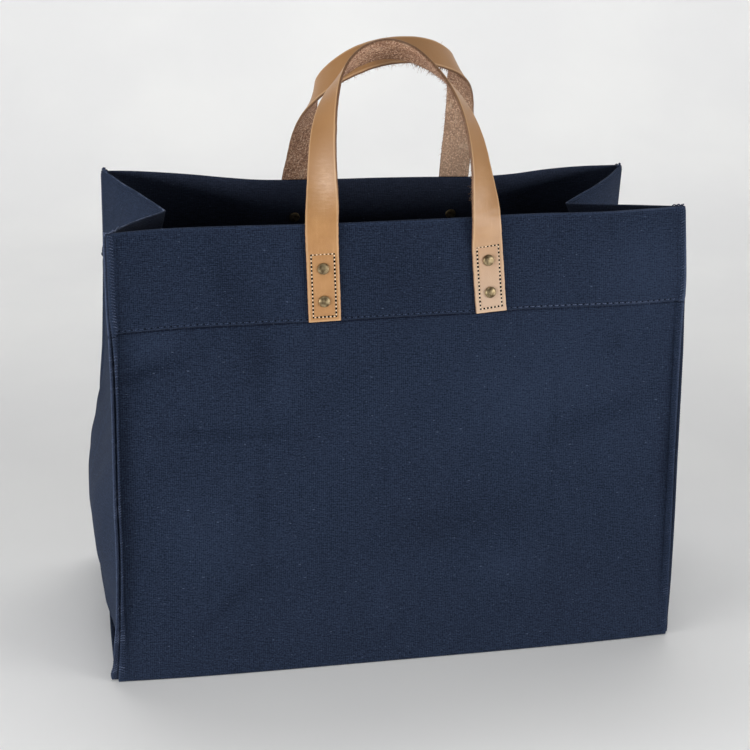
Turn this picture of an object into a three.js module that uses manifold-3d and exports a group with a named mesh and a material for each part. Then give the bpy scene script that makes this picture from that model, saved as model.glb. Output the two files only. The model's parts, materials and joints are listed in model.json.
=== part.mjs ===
import * as THREE from "three";
import { mergeVertices } from "three/addons/utils/BufferGeometryUtils.js";
import Module from "manifold-3d";

const wasm = await Module();
wasm.setup();

// Driving sizes in millimetres: x runs across the front, y towards the back, z up.
const rimHeight = 362;
const clothThick = 1.4;
const layGap = 0.3;
const flangeWide = 6;
const hemDeep = 75;
const hemReach = 1.5;
const foldRadius = 2.2;
const baseSwell = 3;
const dentFrom = 130;
const dentPower = 1.7;
const dentSinkLength = 500;
const tipDrop = 10.5;
const dropPower = 1.5;
const gussetFlatHeight = 205;
const ridgeHeight = 106;
const ridgeSlope = 27;
const ridgeSoftness = 7;
const bulgePower = 1.25;
const creaseSoftness = 0.04;
const strapWide = 25;
const strapThick = 2.4;
const strapGap = 0.45;
const tabLift = 0.5;
const strapRise = 2;
const stitchTop = 339;
const rivetCapRadius = 4.5;
const rivetPostRadius = 1.3;
const rivetHoleRadius = 1.7;
const rivetCapRise = 2.2;
const rivetBackThick = 1;
const rivetSides = 14;
const holeSides = 12;
const holeReach = 12;
const rivetHeights = { upper: 328, lower: 303 };

const hemLine = rimHeight - hemDeep;
const baseTop = clothThick + layGap;
const foldTop = foldRadius + clothThick / 2;
const strapOut = clothThick * 1.5 + strapGap + strapThick / 2;

// The four upright seams: outer edge of the seam strip at each height.
const seamRows = [
  { height: 0, frontLeftX: -229, frontLeftY: -113, frontRightX: 229, frontRightY: -113,
    backLeftX: -229, backLeftY: 113, backRightX: 229, backRightY: 113 },
  { height: 54, frontLeftX: -225.5, frontLeftY: -110.5, frontRightX: 230.4, frontRightY: -107.4,
    backLeftX: -230.4, backLeftY: 113, backRightX: 230, backRightY: 108 },
  { height: 105, frontLeftX: -222.8, frontLeftY: -108.2, frontRightX: 231.4, frontRightY: -102,
    backLeftX: -231, backLeftY: 112.8, backRightX: 230.4, backRightY: 103 },
  { height: 155, frontLeftX: -222.3, frontLeftY: -106, frontRightX: 231.6, frontRightY: -96.4,
    backLeftX: -230, backLeftY: 112.4, backRightX: 230.4, backRightY: 97.6 },
  { height: 212, frontLeftX: -222, frontLeftY: -103.4, frontRightX: 231.4, frontRightY: -90.4,
    backLeftX: -226.6, backLeftY: 112, backRightX: 230, backRightY: 91.2 },
  { height: 288, frontLeftX: -221.4, frontLeftY: -100.2, frontRightX: 230.6, frontRightY: -82.2,
    backLeftX: -222.4, backLeftY: 111.2, backRightX: 229.6, backRightY: 82.8 },
  { height: rimHeight, frontLeftX: -220.5, frontLeftY: -97, frontRightX: 229.5, frontRightY: -74.2,
    backLeftX: -220.5, backLeftY: 110.4, backRightX: 229.5, backRightY: 74.6 },
];

// Push of the panels at the rim, inward on the front and inward on the back, along the width.
const dentRows = [
  { across: 0, front: 0, back: 0 },
  { across: 0.06, front: 7, back: -2.5 },
  { across: 0.12, front: 10.5, back: -9.5 },
  { across: 0.17, front: 9.9, back: -17 },
  { across: 0.22, front: 8.7, back: -25 },
  { across: 0.27, front: 6.9, back: -31.3 },
  { across: 0.3, front: 5.7, back: -33.2 },
  { across: 0.33, front: 4.5, back: -33.8 },
  { across: 0.39, front: 2.9, back: -33.7 },
  { across: 0.42, front: 2.6, back: -33.2 },
  { across: 0.52, front: 2.3, back: -31 },
  { across: 0.6, front: 1.2, back: -30.8 },
  { across: 0.625, front: 1.7, back: -31.1 },
  { across: 0.68, front: 3.6, back: -31.5 },
  { across: 0.71, front: 3.4, back: -30.6 },
  { across: 0.77, front: 1, back: -25 },
  { across: 0.84, front: -2.2, back: -13 },
  { across: 0.92, front: -2, back: -3 },
  { across: 1, front: 0, back: 0 },
];

// Middle line of each gusset: upright crease in the mouth, outward ridge low down.
const creaseRows = [
  { height: 0, leftX: -225, leftY: 0, rightX: 225, rightY: 0 },
  { height: 30, leftX: -236, leftY: 0, rightX: 236, rightY: 0 },
  { height: 70, leftX: -243, leftY: 1, rightX: 243, rightY: 0 },
  { height: ridgeHeight, leftX: -245.4, leftY: 2, rightX: 244.6, rightY: 0 },
  { height: 140, leftX: -239, leftY: 3, rightX: 238, rightY: 0 },
  { height: gussetFlatHeight, leftX: -218.5, leftY: 4, rightX: 224.2, rightY: -2 },
  { height: 280, leftX: -195, leftY: 6, rightX: 188, rightY: -6 },
  { height: rimHeight, leftX: -173.4, leftY: 8.4, rightX: 152, rightY: -10.7 },
];

// Free part of each strap, from the left leg over the arch to the right leg.
const frontStrapRows = [
  { x: -61.2, y: -85, z: 372.6, acrossX: 0.974, acrossY: -0.222, acrossZ: 0.045 },
  { x: -60.6, y: -79.7, z: 390.7, acrossX: 0.818, acrossY: -0.559, acrossZ: 0.138 },
  { x: -59.7, y: -74, z: 408.7, acrossX: 0.737, acrossY: -0.654, acrossZ: 0.172 },
  { x: -57.8, y: -67.3, z: 426.1, acrossX: 0.646, acrossY: -0.733, acrossZ: 0.213 },
  { x: -53.9, y: -59.2, z: 442.7, acrossX: 0.488, acrossY: -0.822, acrossZ: 0.295 },
  { x: -47, y: -50, z: 457.6, acrossX: 0.257, acrossY: -0.865, acrossZ: 0.43 },
  { x: -36.1, y: -40.9, z: 469.8, acrossX: 0.047, acrossY: -0.815, acrossZ: 0.577 },
  { x: -20.9, y: -34.2, z: 478.5, acrossX: -0.039, acrossY: -0.746, acrossZ: 0.665 },
  { x: -2.7, y: -31.9, z: 482.1, acrossX: -0.042, acrossY: -0.746, acrossZ: 0.664 },
  { x: 15, y: -36.2, z: 478.4, acrossX: -0.091, acrossY: -0.815, acrossZ: 0.572 },
  { x: 29.6, y: -43.9, z: 469.4, acrossX: -0.223, acrossY: -0.883, acrossZ: 0.413 },
  { x: 41.5, y: -52.3, z: 457.5, acrossX: -0.345, acrossY: -0.891, acrossZ: 0.295 },
  { x: 50.6, y: -60.4, z: 443.2, acrossX: -0.464, acrossY: -0.862, acrossZ: 0.203 },
  { x: 56.9, y: -67.5, z: 426.9, acrossX: -0.584, acrossY: -0.801, acrossZ: 0.131 },
  { x: 60.7, y: -73.1, z: 409.4, acrossX: -0.685, acrossY: -0.724, acrossZ: 0.084 },
  { x: 63, y: -77.4, z: 391.2, acrossX: -0.761, acrossY: -0.647, acrossZ: 0.056 },
  { x: 65.2, y: -80.9, z: 372.7, acrossX: -0.925, acrossY: -0.379, acrossZ: 0.015 },
];
const backStrapRows = [
  { x: -58.5, y: 64.7, z: 371.1, acrossX: 0.976, acrossY: 0.213, acrossZ: 0.046 },
  { x: -57.7, y: 57.1, z: 389.9, acrossX: 0.886, acrossY: 0.45, acrossZ: 0.115 },
  { x: -56.1, y: 47.7, z: 408.3, acrossX: 0.796, acrossY: 0.578, acrossZ: 0.182 },
  { x: -53.1, y: 36.6, z: 425.7, acrossX: 0.594, acrossY: 0.741, acrossZ: 0.313 },
  { x: -49.8, y: 24.5, z: 441.7, acrossX: 0.13, acrossY: 0.842, acrossZ: 0.488 },
  { x: -39.5, y: 12.2, z: 455.3, acrossX: -0.01, acrossY: 0.787, acrossZ: 0.606 },
  { x: -25.3, y: 2.4, z: 466.4, acrossX: -0.053, acrossY: 0.723, acrossZ: 0.689 },
  { x: -8.1, y: -3.5, z: 474, acrossX: -0.065, acrossY: 0.713, acrossZ: 0.698 },
  { x: 11.3, y: -4.9, z: 477.2, acrossX: -0.055, acrossY: 0.72, acrossZ: 0.69 },
  { x: 30.7, y: -2, z: 475.9, acrossX: -0.05, acrossY: 0.69, acrossZ: 0.722 },
  { x: 48.6, y: 5.7, z: 470.3, acrossX: -0.07, acrossY: 0.73, acrossZ: 0.676 },
  { x: 63.4, y: 17, z: 460.5, acrossX: -0.145, acrossY: 0.83, acrossZ: 0.505 },
  { x: 68.7, y: 28.1, z: 446.2, acrossX: -0.606, acrossY: 0.743, acrossZ: 0.285 },
  { x: 72.3, y: 37.3, z: 429.1, acrossX: -0.763, acrossY: 0.621, acrossZ: 0.183 },
  { x: 73.5, y: 44.5, z: 410.5, acrossX: -0.82, acrossY: 0.551, acrossZ: 0.153 },
  { x: 73.8, y: 50.4, z: 391.3, acrossX: -0.851, acrossY: 0.506, acrossZ: 0.14 },
  { x: 74, y: 56.7, z: 372.2, acrossX: -0.971, acrossY: 0.232, acrossZ: 0.06 },
];

// The sewn ends of each strap: where its middle lies at the hem line and at the rim, and the turn
// in degrees by which the strap has begun to lift off at the rim.
const strapEnds = {
  front: {
    left: { footX: -60.2, rimX: -62.1, lift: 3 },
    right: { footX: 69.9, rimX: 64.4, lift: 9 },
  },
  back: {
    left: { footX: -59.7, rimX: -59.3, lift: 4 },
    right: { footX: 72.6, rimX: 73.2, lift: 4 },
  },
};
const strapRows = { front: frontStrapRows, back: backStrapRows };

// Reads one column of a table at any place between its rows, with smooth slopes.
function readColumn(rows, key, column, at) {
  let row = 0;
  while (row < rows.length - 2 && at > rows[row + 1][key]) {
    row += 1;
  }
  const slopeAt = (index) => {
    const before = rows[Math.max(index - 1, 0)];
    const after = rows[Math.min(index + 1, rows.length - 1)];
    return (after[column] - before[column]) / (after[key] - before[key]);
  };
  const low = rows[row];
  const high = rows[row + 1];
  if (at > high[key]) {
    return high[column] + slopeAt(row + 1) * (at - high[key]);
  }
  const span = high[key] - low[key];
  const share = (at - low[key]) / span;
  const square = share * share;
  const cube = square * share;
  const lowPart = (2 * cube - 3 * square + 1) * low[column] + (3 * square - 2 * cube) * high[column];
  const lowSlope = (cube - 2 * square + share) * span * slopeAt(row);
  const highSlope = (cube - square) * span * slopeAt(row + 1);
  return lowPart + lowSlope + highSlope;
}

function mix(from, to, share) {
  return from + (to - from) * share;
}

function easeBetween(from, to, at) {
  const share = Math.min(Math.max((at - from) / (to - from), 0), 1);
  return share * share * (3 - 2 * share);
}

function softMinimum(first, second, softness) {
  const overlap = Math.max(softness - Math.abs(first - second), 0) / softness;
  return Math.min(first, second) - overlap * overlap * softness * 0.25;
}

// How much of the rim's dent is left at a height: none low down, all of it at the rim.
function dentRise(height) {
  const share = Math.max((height - dentFrom) / (rimHeight - dentFrom), 0);
  return Math.pow(share, dentPower);
}

// A point of the front or back panel: straight between its two seams, dented at the rim.
function panelPoint(side, across, height) {
  const reach = height > hemLine ? hemReach : 0;
  const leftX = readColumn(seamRows, "height", side + "LeftX", height) - reach;
  const rightX = readColumn(seamRows, "height", side + "RightX", height) + reach;
  const leftY = readColumn(seamRows, "height", side + "LeftY", height);
  const rightY = readColumn(seamRows, "height", side + "RightY", height);
  const share = Math.min(Math.max(across, 0), 1);
  const dent = readColumn(dentRows, "across", side, share) * dentRise(height);
  const sink = (dent * dent) / dentSinkLength;
  return new THREE.Vector3(mix(leftX, rightX, across), mix(leftY, rightY, across) + dent, height - sink);
}

// The direction that looks out of a panel, from two small steps on it.
function panelOutward(side, across, height) {
  const alongX = panelPoint(side, across + 0.002, height).sub(panelPoint(side, across - 0.002, height));
  const alongZ = panelPoint(side, across, height + 0.1).sub(panelPoint(side, across, height - 0.1));
  const outward = alongX.cross(alongZ).normalize();
  return side === "front" ? outward : outward.negate();
}

function acrossAt(side, x, height) {
  const leftX = panelPoint(side, 0, height).x;
  const rightX = panelPoint(side, 1, height).x;
  return (x - leftX) / (rightX - leftX);
}

// The body along its girth: 0 to 1 down the back, 1 to 2 under the base, 2 to 3 up the front.
function bodyPoint(across, girth) {
  if (girth <= 1) {
    return panelPoint("back", across, mix(rimHeight, foldTop, girth));
  }
  if (girth >= 2) {
    return panelPoint("front", across, mix(foldTop, rimHeight, girth - 2));
  }
  const back = panelPoint("back", across, foldTop);
  const front = panelPoint("front", across, foldTop);
  const share = (girth - 1.1) / 0.8;
  const middle = Math.min(Math.max(share, 0), 1);
  const swell = baseSwell * (across * 2 - 1) * (1 - (2 * middle - 1) ** 2);
  const point = new THREE.Vector3(mix(back.x, front.x, middle) + swell, 0, clothThick / 2);
  point.y = mix(back.y - foldRadius, front.y + foldRadius, middle);
  if (share < 0) {
    const turn = ((girth - 1) / 0.1) * (Math.PI / 2);
    point.y = back.y - foldRadius * (1 - Math.cos(turn));
    point.z = foldTop - foldRadius * Math.sin(turn);
  }
  if (share > 1) {
    const turn = ((2 - girth) / 0.1) * (Math.PI / 2);
    point.y = front.y + foldRadius * (1 - Math.cos(turn));
    point.z = foldTop - foldRadius * Math.sin(turn);
  }
  return point;
}

// A point of a gusset: place 0 is its middle crease, 1 the front seam, -1 the back seam,
// and beyond 1 the seam strip that lies against the panel.
function gussetPoint(hand, place, height) {
  const sign = hand === "left" ? -1 : 1;
  const side = place > 0 ? "front" : "back";
  const edge = hand === "left" ? 0 : 1;
  const width = panelPoint(side, 1, height).x - panelPoint(side, 0, height).x;
  const strip = flangeWide / width;
  const lay = clothThick + layGap * 1.4;
  const stripPoint = (panel, share) => {
    const across = edge - sign * strip * share;
    const outward = panelOutward(panel, across, height);
    return panelPoint(panel, across, height).addScaledVector(outward, -lay);
  };
  const distance = Math.abs(place);
  if (distance > 1) {
    return stripPoint(side, 1 - (distance - 1) / 0.1);
  }
  const front = stripPoint("front", 1);
  const back = stripPoint("back", 1);
  const middleX = readColumn(creaseRows, "height", hand + "X", height);
  const middleY = readColumn(creaseRows, "height", hand + "Y", height);
  const corner = place > 0 ? front : back;
  const straightX = mix(front.x, back.x, (middleY - front.y) / (back.y - front.y));
  const bulge = sign * (middleX - straightX);
  const softDistance = Math.hypot(distance, creaseSoftness) - creaseSoftness * (1 - distance);
  const inward = Math.min(bulge, 0) * (1 - softDistance);
  const slope = Math.max(ridgeSlope * easeBetween(0, ridgeHeight, height), Math.max(bulge, 0));
  const outward = bulge > 0 ? softMinimum(bulge, slope * (1 - distance ** bulgePower), ridgeSoftness) : 0;
  const foldShare = Math.max((height - gussetFlatHeight) / (rimHeight - gussetFlatHeight), 0);
  const drop = tipDrop * Math.pow(foldShare, dropPower) * (1 - softDistance);
  const point = new THREE.Vector3();
  point.x = mix(straightX, corner.x, distance) + sign * (inward + Math.max(outward, 0));
  point.y = mix(middleY, corner.y, distance);
  point.z = mix(height, corner.z, distance) - drop;
  return point;
}

// Turns loose faces into one closed surface that looks outward.
function closeSurface(loose) {
  loose.deleteAttribute("normal");
  loose.deleteAttribute("uv");
  loose.clearGroups();
  const geometry = mergeVertices(loose, 1e-4);
  const place = geometry.getAttribute("position");
  const order = geometry.getIndex().array;
  const first = new THREE.Vector3();
  const second = new THREE.Vector3();
  const third = new THREE.Vector3();
  let volume = 0;
  for (let corner = 0; corner < order.length; corner += 3) {
    first.fromBufferAttribute(place, order[corner]);
    second.fromBufferAttribute(place, order[corner + 1]);
    third.fromBufferAttribute(place, order[corner + 2]);
    volume += first.dot(second.cross(third));
  }
  if (volume < 0) {
    for (let corner = 0; corner < order.length; corner += 3) {
      const kept = order[corner + 1];
      order[corner + 1] = order[corner + 2];
      order[corner + 2] = kept;
    }
  }
  return geometry;
}

// A sheet with thickness: a box of one layer whose corners are carried to the bent surface.
function bentSheet(columns, rows, surface, innerOffset, outerOffset) {
  const box = new THREE.BoxGeometry(1, 1, 1, columns.length - 1, rows.length - 1, 1);
  const place = box.getAttribute("position");
  const columnStep = 1e-3;
  const rowStep = (rows[rows.length - 1] - rows[0]) * 1e-4;
  for (let index = 0; index < place.count; index += 1) {
    const column = columns[Math.round((place.getX(index) + 0.5) * (columns.length - 1))];
    const row = rows[Math.round((place.getY(index) + 0.5) * (rows.length - 1))];
    const columnLow = Math.max(column - columnStep, columns[0]);
    const columnHigh = Math.min(column + columnStep, columns[columns.length - 1]);
    const rowLow = Math.max(row - rowStep, rows[0]);
    const rowHigh = Math.min(row + rowStep, rows[rows.length - 1]);
    const alongColumn = surface(columnHigh, row).sub(surface(columnLow, row));
    const alongRow = surface(column, rowHigh).sub(surface(column, rowLow));
    const normal = alongColumn.cross(alongRow).normalize();
    const offset = place.getZ(index) > 0 ? outerOffset(column, row) : -innerOffset;
    const point = surface(column, row).addScaledVector(normal, offset);
    place.setXYZ(index, point.x, point.y, point.z);
  }
  return closeSurface(box);
}

function solidFrom(geometry) {
  const vertProperties = Float32Array.from(geometry.getAttribute("position").array);
  const triVerts = Uint32Array.from(geometry.getIndex().array);
  return new wasm.Manifold(new wasm.Mesh({ numProp: 3, vertProperties, triVerts }));
}

function geometryFrom(solid) {
  const result = solid.getMesh();
  const geometry = new THREE.BufferGeometry();
  const place = new THREE.BufferAttribute(Float32Array.from(result.vertProperties), 3);
  geometry.setAttribute("position", place);
  geometry.setIndex(new THREE.BufferAttribute(Uint32Array.from(result.triVerts), 1));
  return geometry;
}

// Middle of a strap end on the panel at a height.
function strapAcross(side, end, height) {
  const x = mix(end.footX, end.rimX, (height - hemLine) / hemDeep);
  return acrossAt(side, x, height);
}

// Where each rivet stands: on the middle of a strap end, square to the panel.
function rivetSpots(side) {
  const spots = [];
  for (const [hand, end] of Object.entries(strapEnds[side])) {
    for (const [level, height] of Object.entries(rivetHeights)) {
      const across = strapAcross(side, end, height);
      const name = "rivet_" + side + "_" + hand + "_" + level;
      const centre = panelPoint(side, across, height);
      const outward = panelOutward(side, across, height);
      spots.push({ name, centre, outward });
    }
  }
  return spots;
}

// A round solid turned from a profile, set with its axis along the spot's outward direction.
function turnedAt(profile, segments, spot) {
  const points = profile.map(([radius, along]) => new THREE.Vector2(radius, along));
  const lathe = new THREE.LatheGeometry(points, segments);
  const turn = new THREE.Quaternion().setFromUnitVectors(new THREE.Vector3(0, 1, 0), spot.outward);
  lathe.applyQuaternion(turn);
  lathe.translate(spot.centre.x, spot.centre.y, spot.centre.z);
  return closeSurface(lathe);
}

function cutRivetHoles(geometry, spots) {
  let solid = solidFrom(geometry);
  const profile = [
    [0, -holeReach],
    [rivetHoleRadius, -holeReach],
    [rivetHoleRadius, holeReach],
    [0, holeReach],
  ];
  for (const spot of spots) {
    solid = solid.subtract(solidFrom(turnedAt(profile, holeSides, spot)));
  }
  return geometryFrom(solid);
}

function rivetGeometry(spot) {
  const seat = strapOut + strapThick / 2 + layGap * 0.6;
  const back = -clothThick / 2 - layGap;
  const profile = [
    [0, back - rivetBackThick],
    [rivetCapRadius * 0.86, back - rivetBackThick],
    [rivetCapRadius, back - rivetBackThick * 0.4],
    [rivetCapRadius, back],
    [rivetPostRadius, back],
    [rivetPostRadius, seat],
    [rivetCapRadius, seat],
    [rivetCapRadius, seat + rivetCapRise * 0.25],
    [rivetCapRadius * 0.84, seat + rivetCapRise * 0.65],
    [rivetCapRadius * 0.52, seat + rivetCapRise * 0.92],
    [0, seat + rivetCapRise],
  ];
  return turnedAt(profile, rivetSides, spot);
}

// The strap's two edges as smooth lines: up the left tab, over the arch, down the right tab.
function strapSurface(side) {
  const { left, right } = strapEnds[side];
  const tabHeights = [hemLine + tabLift, 295, 303, 311, 320, 328, 337, 346, 355, rimHeight + strapRise];
  const tabPoint = (end, height, turn) => {
    const across = strapAcross(side, end, height);
    const outward = panelOutward(side, across, height);
    const step = panelPoint(side, across + 0.01, height).sub(panelPoint(side, across - 0.01, height));
    const above = panelPoint(side, strapAcross(side, end, height + 1), height + 1);
    const along = above.sub(panelPoint(side, across, height)).normalize();
    const flat = step.addScaledVector(along, -step.dot(along)).normalize().multiplyScalar(turn);
    const lift = THREE.MathUtils.degToRad(end.lift) * easeBetween(stitchTop, rimHeight + strapRise, height);
    const direction = flat.multiplyScalar(Math.cos(lift)).addScaledVector(outward, Math.sin(lift));
    const out = strapOut + Math.sin(lift) * strapWide * 0.5;
    return { centre: panelPoint(side, across, height).addScaledVector(outward, out), direction };
  };
  const stations = tabHeights.map((height) => tabPoint(left, height, 1));
  for (const row of strapRows[side]) {
    const centre = new THREE.Vector3(row.x, row.y, row.z);
    const direction = new THREE.Vector3(row.acrossX, row.acrossY, row.acrossZ).normalize();
    stations.push({ centre, direction });
  }
  const falling = tabHeights.slice().reverse();
  stations.push(...falling.map((height) => tabPoint(right, height, -1)));
  const edgeLine = (share) => {
    const points = stations.map((station) => {
      return station.centre.clone().addScaledVector(station.direction, share * strapWide * 0.5);
    });
    return new THREE.CatmullRomCurve3(points, false, "catmullrom", 0.5);
  };
  const innerEdge = edgeLine(1);
  const outerEdge = edgeLine(-1);
  const last = stations.length - 1;
  const surface = (across, along) => {
    const share = Math.min(Math.max(along / last, 0), 1);
    return outerEdge.getPoint(share).lerp(innerEdge.getPoint(share), across);
  };
  const rows = [];
  for (let station = 0; station < last; station += 1) {
    const free = station >= tabHeights.length - 1 && station < last - tabHeights.length + 1;
    rows.push(station);
    if (free) {
      rows.push(station + 0.5);
    }
  }
  rows.push(last);
  return { surface, rows };
}

function evenSteps(from, to, count) {
  return Array.from({ length: count + 1 }, (unused, index) => mix(from, to, index / count));
}

// Canvas body.
const panelHeights = [foldTop, 12, 40, 75, 110, 145, 180, 215, 250, hemLine - 0.2, hemLine + 0.2,
  306, 325, 344, rimHeight];
const panelShares = panelHeights.map((height) => (height - foldTop) / (rimHeight - foldTop));
const backGirths = panelShares.map((share) => 1 - share).reverse();
const frontGirths = panelShares.map((share) => 2 + share);
const foldGirths = [1.033, 1.066, ...evenSteps(1.1, 1.9, 5), 1.934, 1.967];
const bodyGirths = [...backGirths, ...foldGirths, ...frontGirths];
const bodyColumns = [0, 0.014, 0.05, ...evenSteps(0.09, 0.91, 15), 0.95, 0.986, 1];
const bodyHem = (across, girth) => {
  const share = girth <= 1 ? 1 - girth : girth - 2;
  const height = mix(foldTop, rimHeight, Math.max(share, 0));
  return height > hemLine ? clothThick * 1.5 : clothThick * 0.5;
};
const bodySheet = bentSheet(bodyColumns, bodyGirths, bodyPoint, clothThick / 2, bodyHem);
const bodyGeometry = cutRivetHoles(bodySheet, [...rivetSpots("front"), ...rivetSpots("back")]);

// Gussets: the folded wall joined to the strip that lies on the base.
const gussetHeights = [baseTop + clothThick / 2, 14, 34, 58, 80, 96, 106, 116, 130, 146, 164, 184,
  gussetFlatHeight, 230, 260, hemLine - 0.2, hemLine + 0.2, 322, rimHeight];
const halfPlaces = [0.06, 0.17, 0.32, 0.48, 0.64, 0.8, 0.92, 0.98, 1, 1.1];
const gussetPlaces = [...halfPlaces.map((place) => -place).reverse(), 0, ...halfPlaces];
const gussetHem = (place, height) => (height > hemLine ? clothThick * 1.5 : clothThick * 0.5);

function gussetGeometry(hand) {
  const sign = hand === "left" ? -1 : 1;
  const surface = (place, height) => gussetPoint(hand, sign * place, height);
  const turned = (place, height) => surface(-place, height);
  const wall = bentSheet(gussetPlaces, gussetHeights, turned, clothThick / 2, gussetHem);
  const footHeight = gussetHeights[0];
  const foot = (place, share) => {
    const wallPoint = surface(place, footHeight);
    const edge = bodyPoint(hand === "left" ? 0 : 1, 1.5 + place * 0.38);
    return new THREE.Vector3(mix(wallPoint.x - sign, edge.x, share), wallPoint.y, footHeight);
  };
  const footPlaces = evenSteps(-0.965, 0.965, 10);
  const strip = bentSheet(footPlaces, [0, 0.5, 1], foot, clothThick / 2, () => clothThick / 2);
  return geometryFrom(solidFrom(wall).add(solidFrom(strip)));
}

// Handles.
function handleGeometry(side) {
  const { surface, rows } = strapSurface(side);
  const sheet = bentSheet([0, 0.5, 1], rows, surface, strapThick / 2, () => strapThick / 2);
  return cutRivetHoles(sheet, rivetSpots(side));
}

const group = new THREE.Group();
group.name = "box_tote_bag";

function addPiece(name, geometry, finish) {
  const mesh = new THREE.Mesh(geometry, new THREE.MeshStandardMaterial(finish));
  geometry.computeVertexNormals();
  mesh.name = name;
  group.add(mesh);
}

const canvasFinish = { color: 0x263043, roughness: 0.92, metalness: 0 };
const leatherFinish = { color: 0xb88c5e, roughness: 0.5, metalness: 0 };
const brassFinish = { color: 0x8f7a55, roughness: 0.4, metalness: 1 };

addPiece("canvas_body", bodyGeometry, canvasFinish);
addPiece("left_gusset", gussetGeometry("left"), canvasFinish);
addPiece("right_gusset", gussetGeometry("right"), canvasFinish);
addPiece("front_handle", handleGeometry("front"), leatherFinish);
addPiece("back_handle", handleGeometry("back"), leatherFinish);
for (const side of ["front", "back"]) {
  for (const spot of rivetSpots(side)) {
    addPiece(spot.name, rivetGeometry(spot), brassFinish);
  }
}

export default group;
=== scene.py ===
import json
import math

import bpy
import numpy as np
from mathutils import Matrix

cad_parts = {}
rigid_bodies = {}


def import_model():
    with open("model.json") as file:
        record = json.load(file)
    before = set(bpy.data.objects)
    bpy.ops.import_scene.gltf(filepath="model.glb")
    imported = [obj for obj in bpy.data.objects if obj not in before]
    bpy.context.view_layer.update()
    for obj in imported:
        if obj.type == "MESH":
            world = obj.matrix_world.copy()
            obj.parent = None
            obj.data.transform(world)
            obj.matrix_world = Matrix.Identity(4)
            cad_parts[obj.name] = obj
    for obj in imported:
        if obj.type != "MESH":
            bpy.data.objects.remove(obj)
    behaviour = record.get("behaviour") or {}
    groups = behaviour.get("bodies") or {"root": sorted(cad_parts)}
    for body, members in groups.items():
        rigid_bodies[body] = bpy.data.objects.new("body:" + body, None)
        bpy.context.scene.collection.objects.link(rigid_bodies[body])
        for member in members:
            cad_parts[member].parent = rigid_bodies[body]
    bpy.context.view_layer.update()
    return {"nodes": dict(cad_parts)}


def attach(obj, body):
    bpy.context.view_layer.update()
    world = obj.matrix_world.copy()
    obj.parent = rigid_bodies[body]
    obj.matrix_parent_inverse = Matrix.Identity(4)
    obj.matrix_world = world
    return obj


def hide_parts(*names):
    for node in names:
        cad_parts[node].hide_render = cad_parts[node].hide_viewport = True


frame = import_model()
print("frame loaded:", len(frame["nodes"]), "nodes")

# Tables and sizes are in millimetres (x across the front, y towards the back, z up); meshes are in metres.
unit = 0.001
fullTurn = 2 * math.pi
sides, hands = ("front", "back"), ("left", "right")
outY, outX = {"front": -1, "back": 1}, {"left": -1, "right": 1}  # signs of the way out of the bag
edgeShare = {"left": 0.0, "right": 1.0}  # place of a panel's two edges across its width
bag = {
    "rim": 362.0, "hemDeep": 75.0, "hemReach": 1.5, "hemBlend": {"front": (30, 25), "back": (0.7, 0.7)},
    "cloth": 1.4, "layGap": 0.3, "flange": 6.0, "wide": 450.0, "foldRadius": 1.5, "foldGirth": 0.1,
    "footBow": 4.2, "bowFade": 45.0, "baseSwell": 3.0, "rimSag": 1.3, "sagFrom": 335.0,
    "dentFrom": 130.0, "dentPower": 1.7, "dentSink": 500.0, "tuckFade": 25.0, "standSoftness": 0.02,
    "flangeOpen": 2.1, "cornerReach": 4.2, "cornerFlare": 1.8, "stripPlaces": 0.1, "gussetHalf": 110.0,
    "tipDrop": 10.5, "dropPower": 1.5, "flatHeight": 205.0, "ridgeHeight": 106.0, "ridgeSlope": 27.0,
    "ridgeSoftness": 7.0, "bulgePower": 1.25, "creaseSoftness": 0.04, "gussetWave": 0.7,
}
rim, cloth, layGap, flange = (bag[key] for key in ("rim", "cloth", "layGap", "flange"))
hemLine = rim - bag["hemDeep"]
foldTop = bag["foldRadius"] + cloth / 2

# The four upright seams: raw edge of the seam strip at each height.
seamRows = {
    "height": [0, 54, 105, 155, 212, 288, 362],
    "frontLeftX": [-229, -225.5, -222.8, -222.3, -222, -221.4, -220.5],
    "frontLeftY": [-114, -110.8, -108.2, -106, -103.4, -100.2, -97],
    "frontRightX": [228, 229.8, 230.4, 230.6, 231.2, 231.7, 227.8],
    "frontRightY": [-114, -107.6, -102, -96.4, -90.4, -82.2, -74.2],
    "backLeftX": [-229, -230.4, -231, -230, -226.6, -222.4, -220.5],
    "backLeftY": [113, 113, 112.8, 112.4, 112, 111.2, 110.4],
    "backRightX": [229, 230, 230.4, 230.4, 230, 229.6, 229.5],
    "backRightY": [113, 108, 103, 97.6, 91.2, 82.8, 74.6],
}
# Push of the panels at the rim along the width.
dentRows = {
    "across": [0, 0.06, 0.12, 0.17, 0.22, 0.27, 0.3, 0.33, 0.39, 0.42, 0.52, 0.6, 0.625, 0.68, 0.71, 0.77,
               0.84, 0.92, 1],
    "front": [0, 7, 10.5, 9.9, 8.7, 6.9, 5.7, 4.5, 2.9, 2.6, 2.3, 1.2, 1.7, 3.6, 3.4, 1, -2.2, -2, 0],
    "back": [0, -2.5, -9.5, -17, -25, -31.3, -33.2, -33.8, -33.7, -33.2, -31, -30.8, -31.1, -31.5, -30.6, -25,
             -13, -3, 0],
}
# Middle line of each gusset: upright crease in the mouth, outward ridge low down.
creaseRows = {
    "height": [0, 30, 70, 106, 140, 205, 280, 362],
    "leftX": [-229, -239.6, -241.8, -244, -240.3, -218.5, -195, -173.4],
    "leftY": [0, 0, 1, 2, 3, 4, 6, 8.4],
    "rightX": [225, 236, 243, 244.6, 238, 224.2, 188, 152],
    "rightY": [0, 0, 0, 0, 0, -2, -6, -10.7],
}
gussetBow = {"left": (5.0, 0.5), "right": (0.5, 5.0)}  # bow of each mouth fold's front and back half
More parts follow.
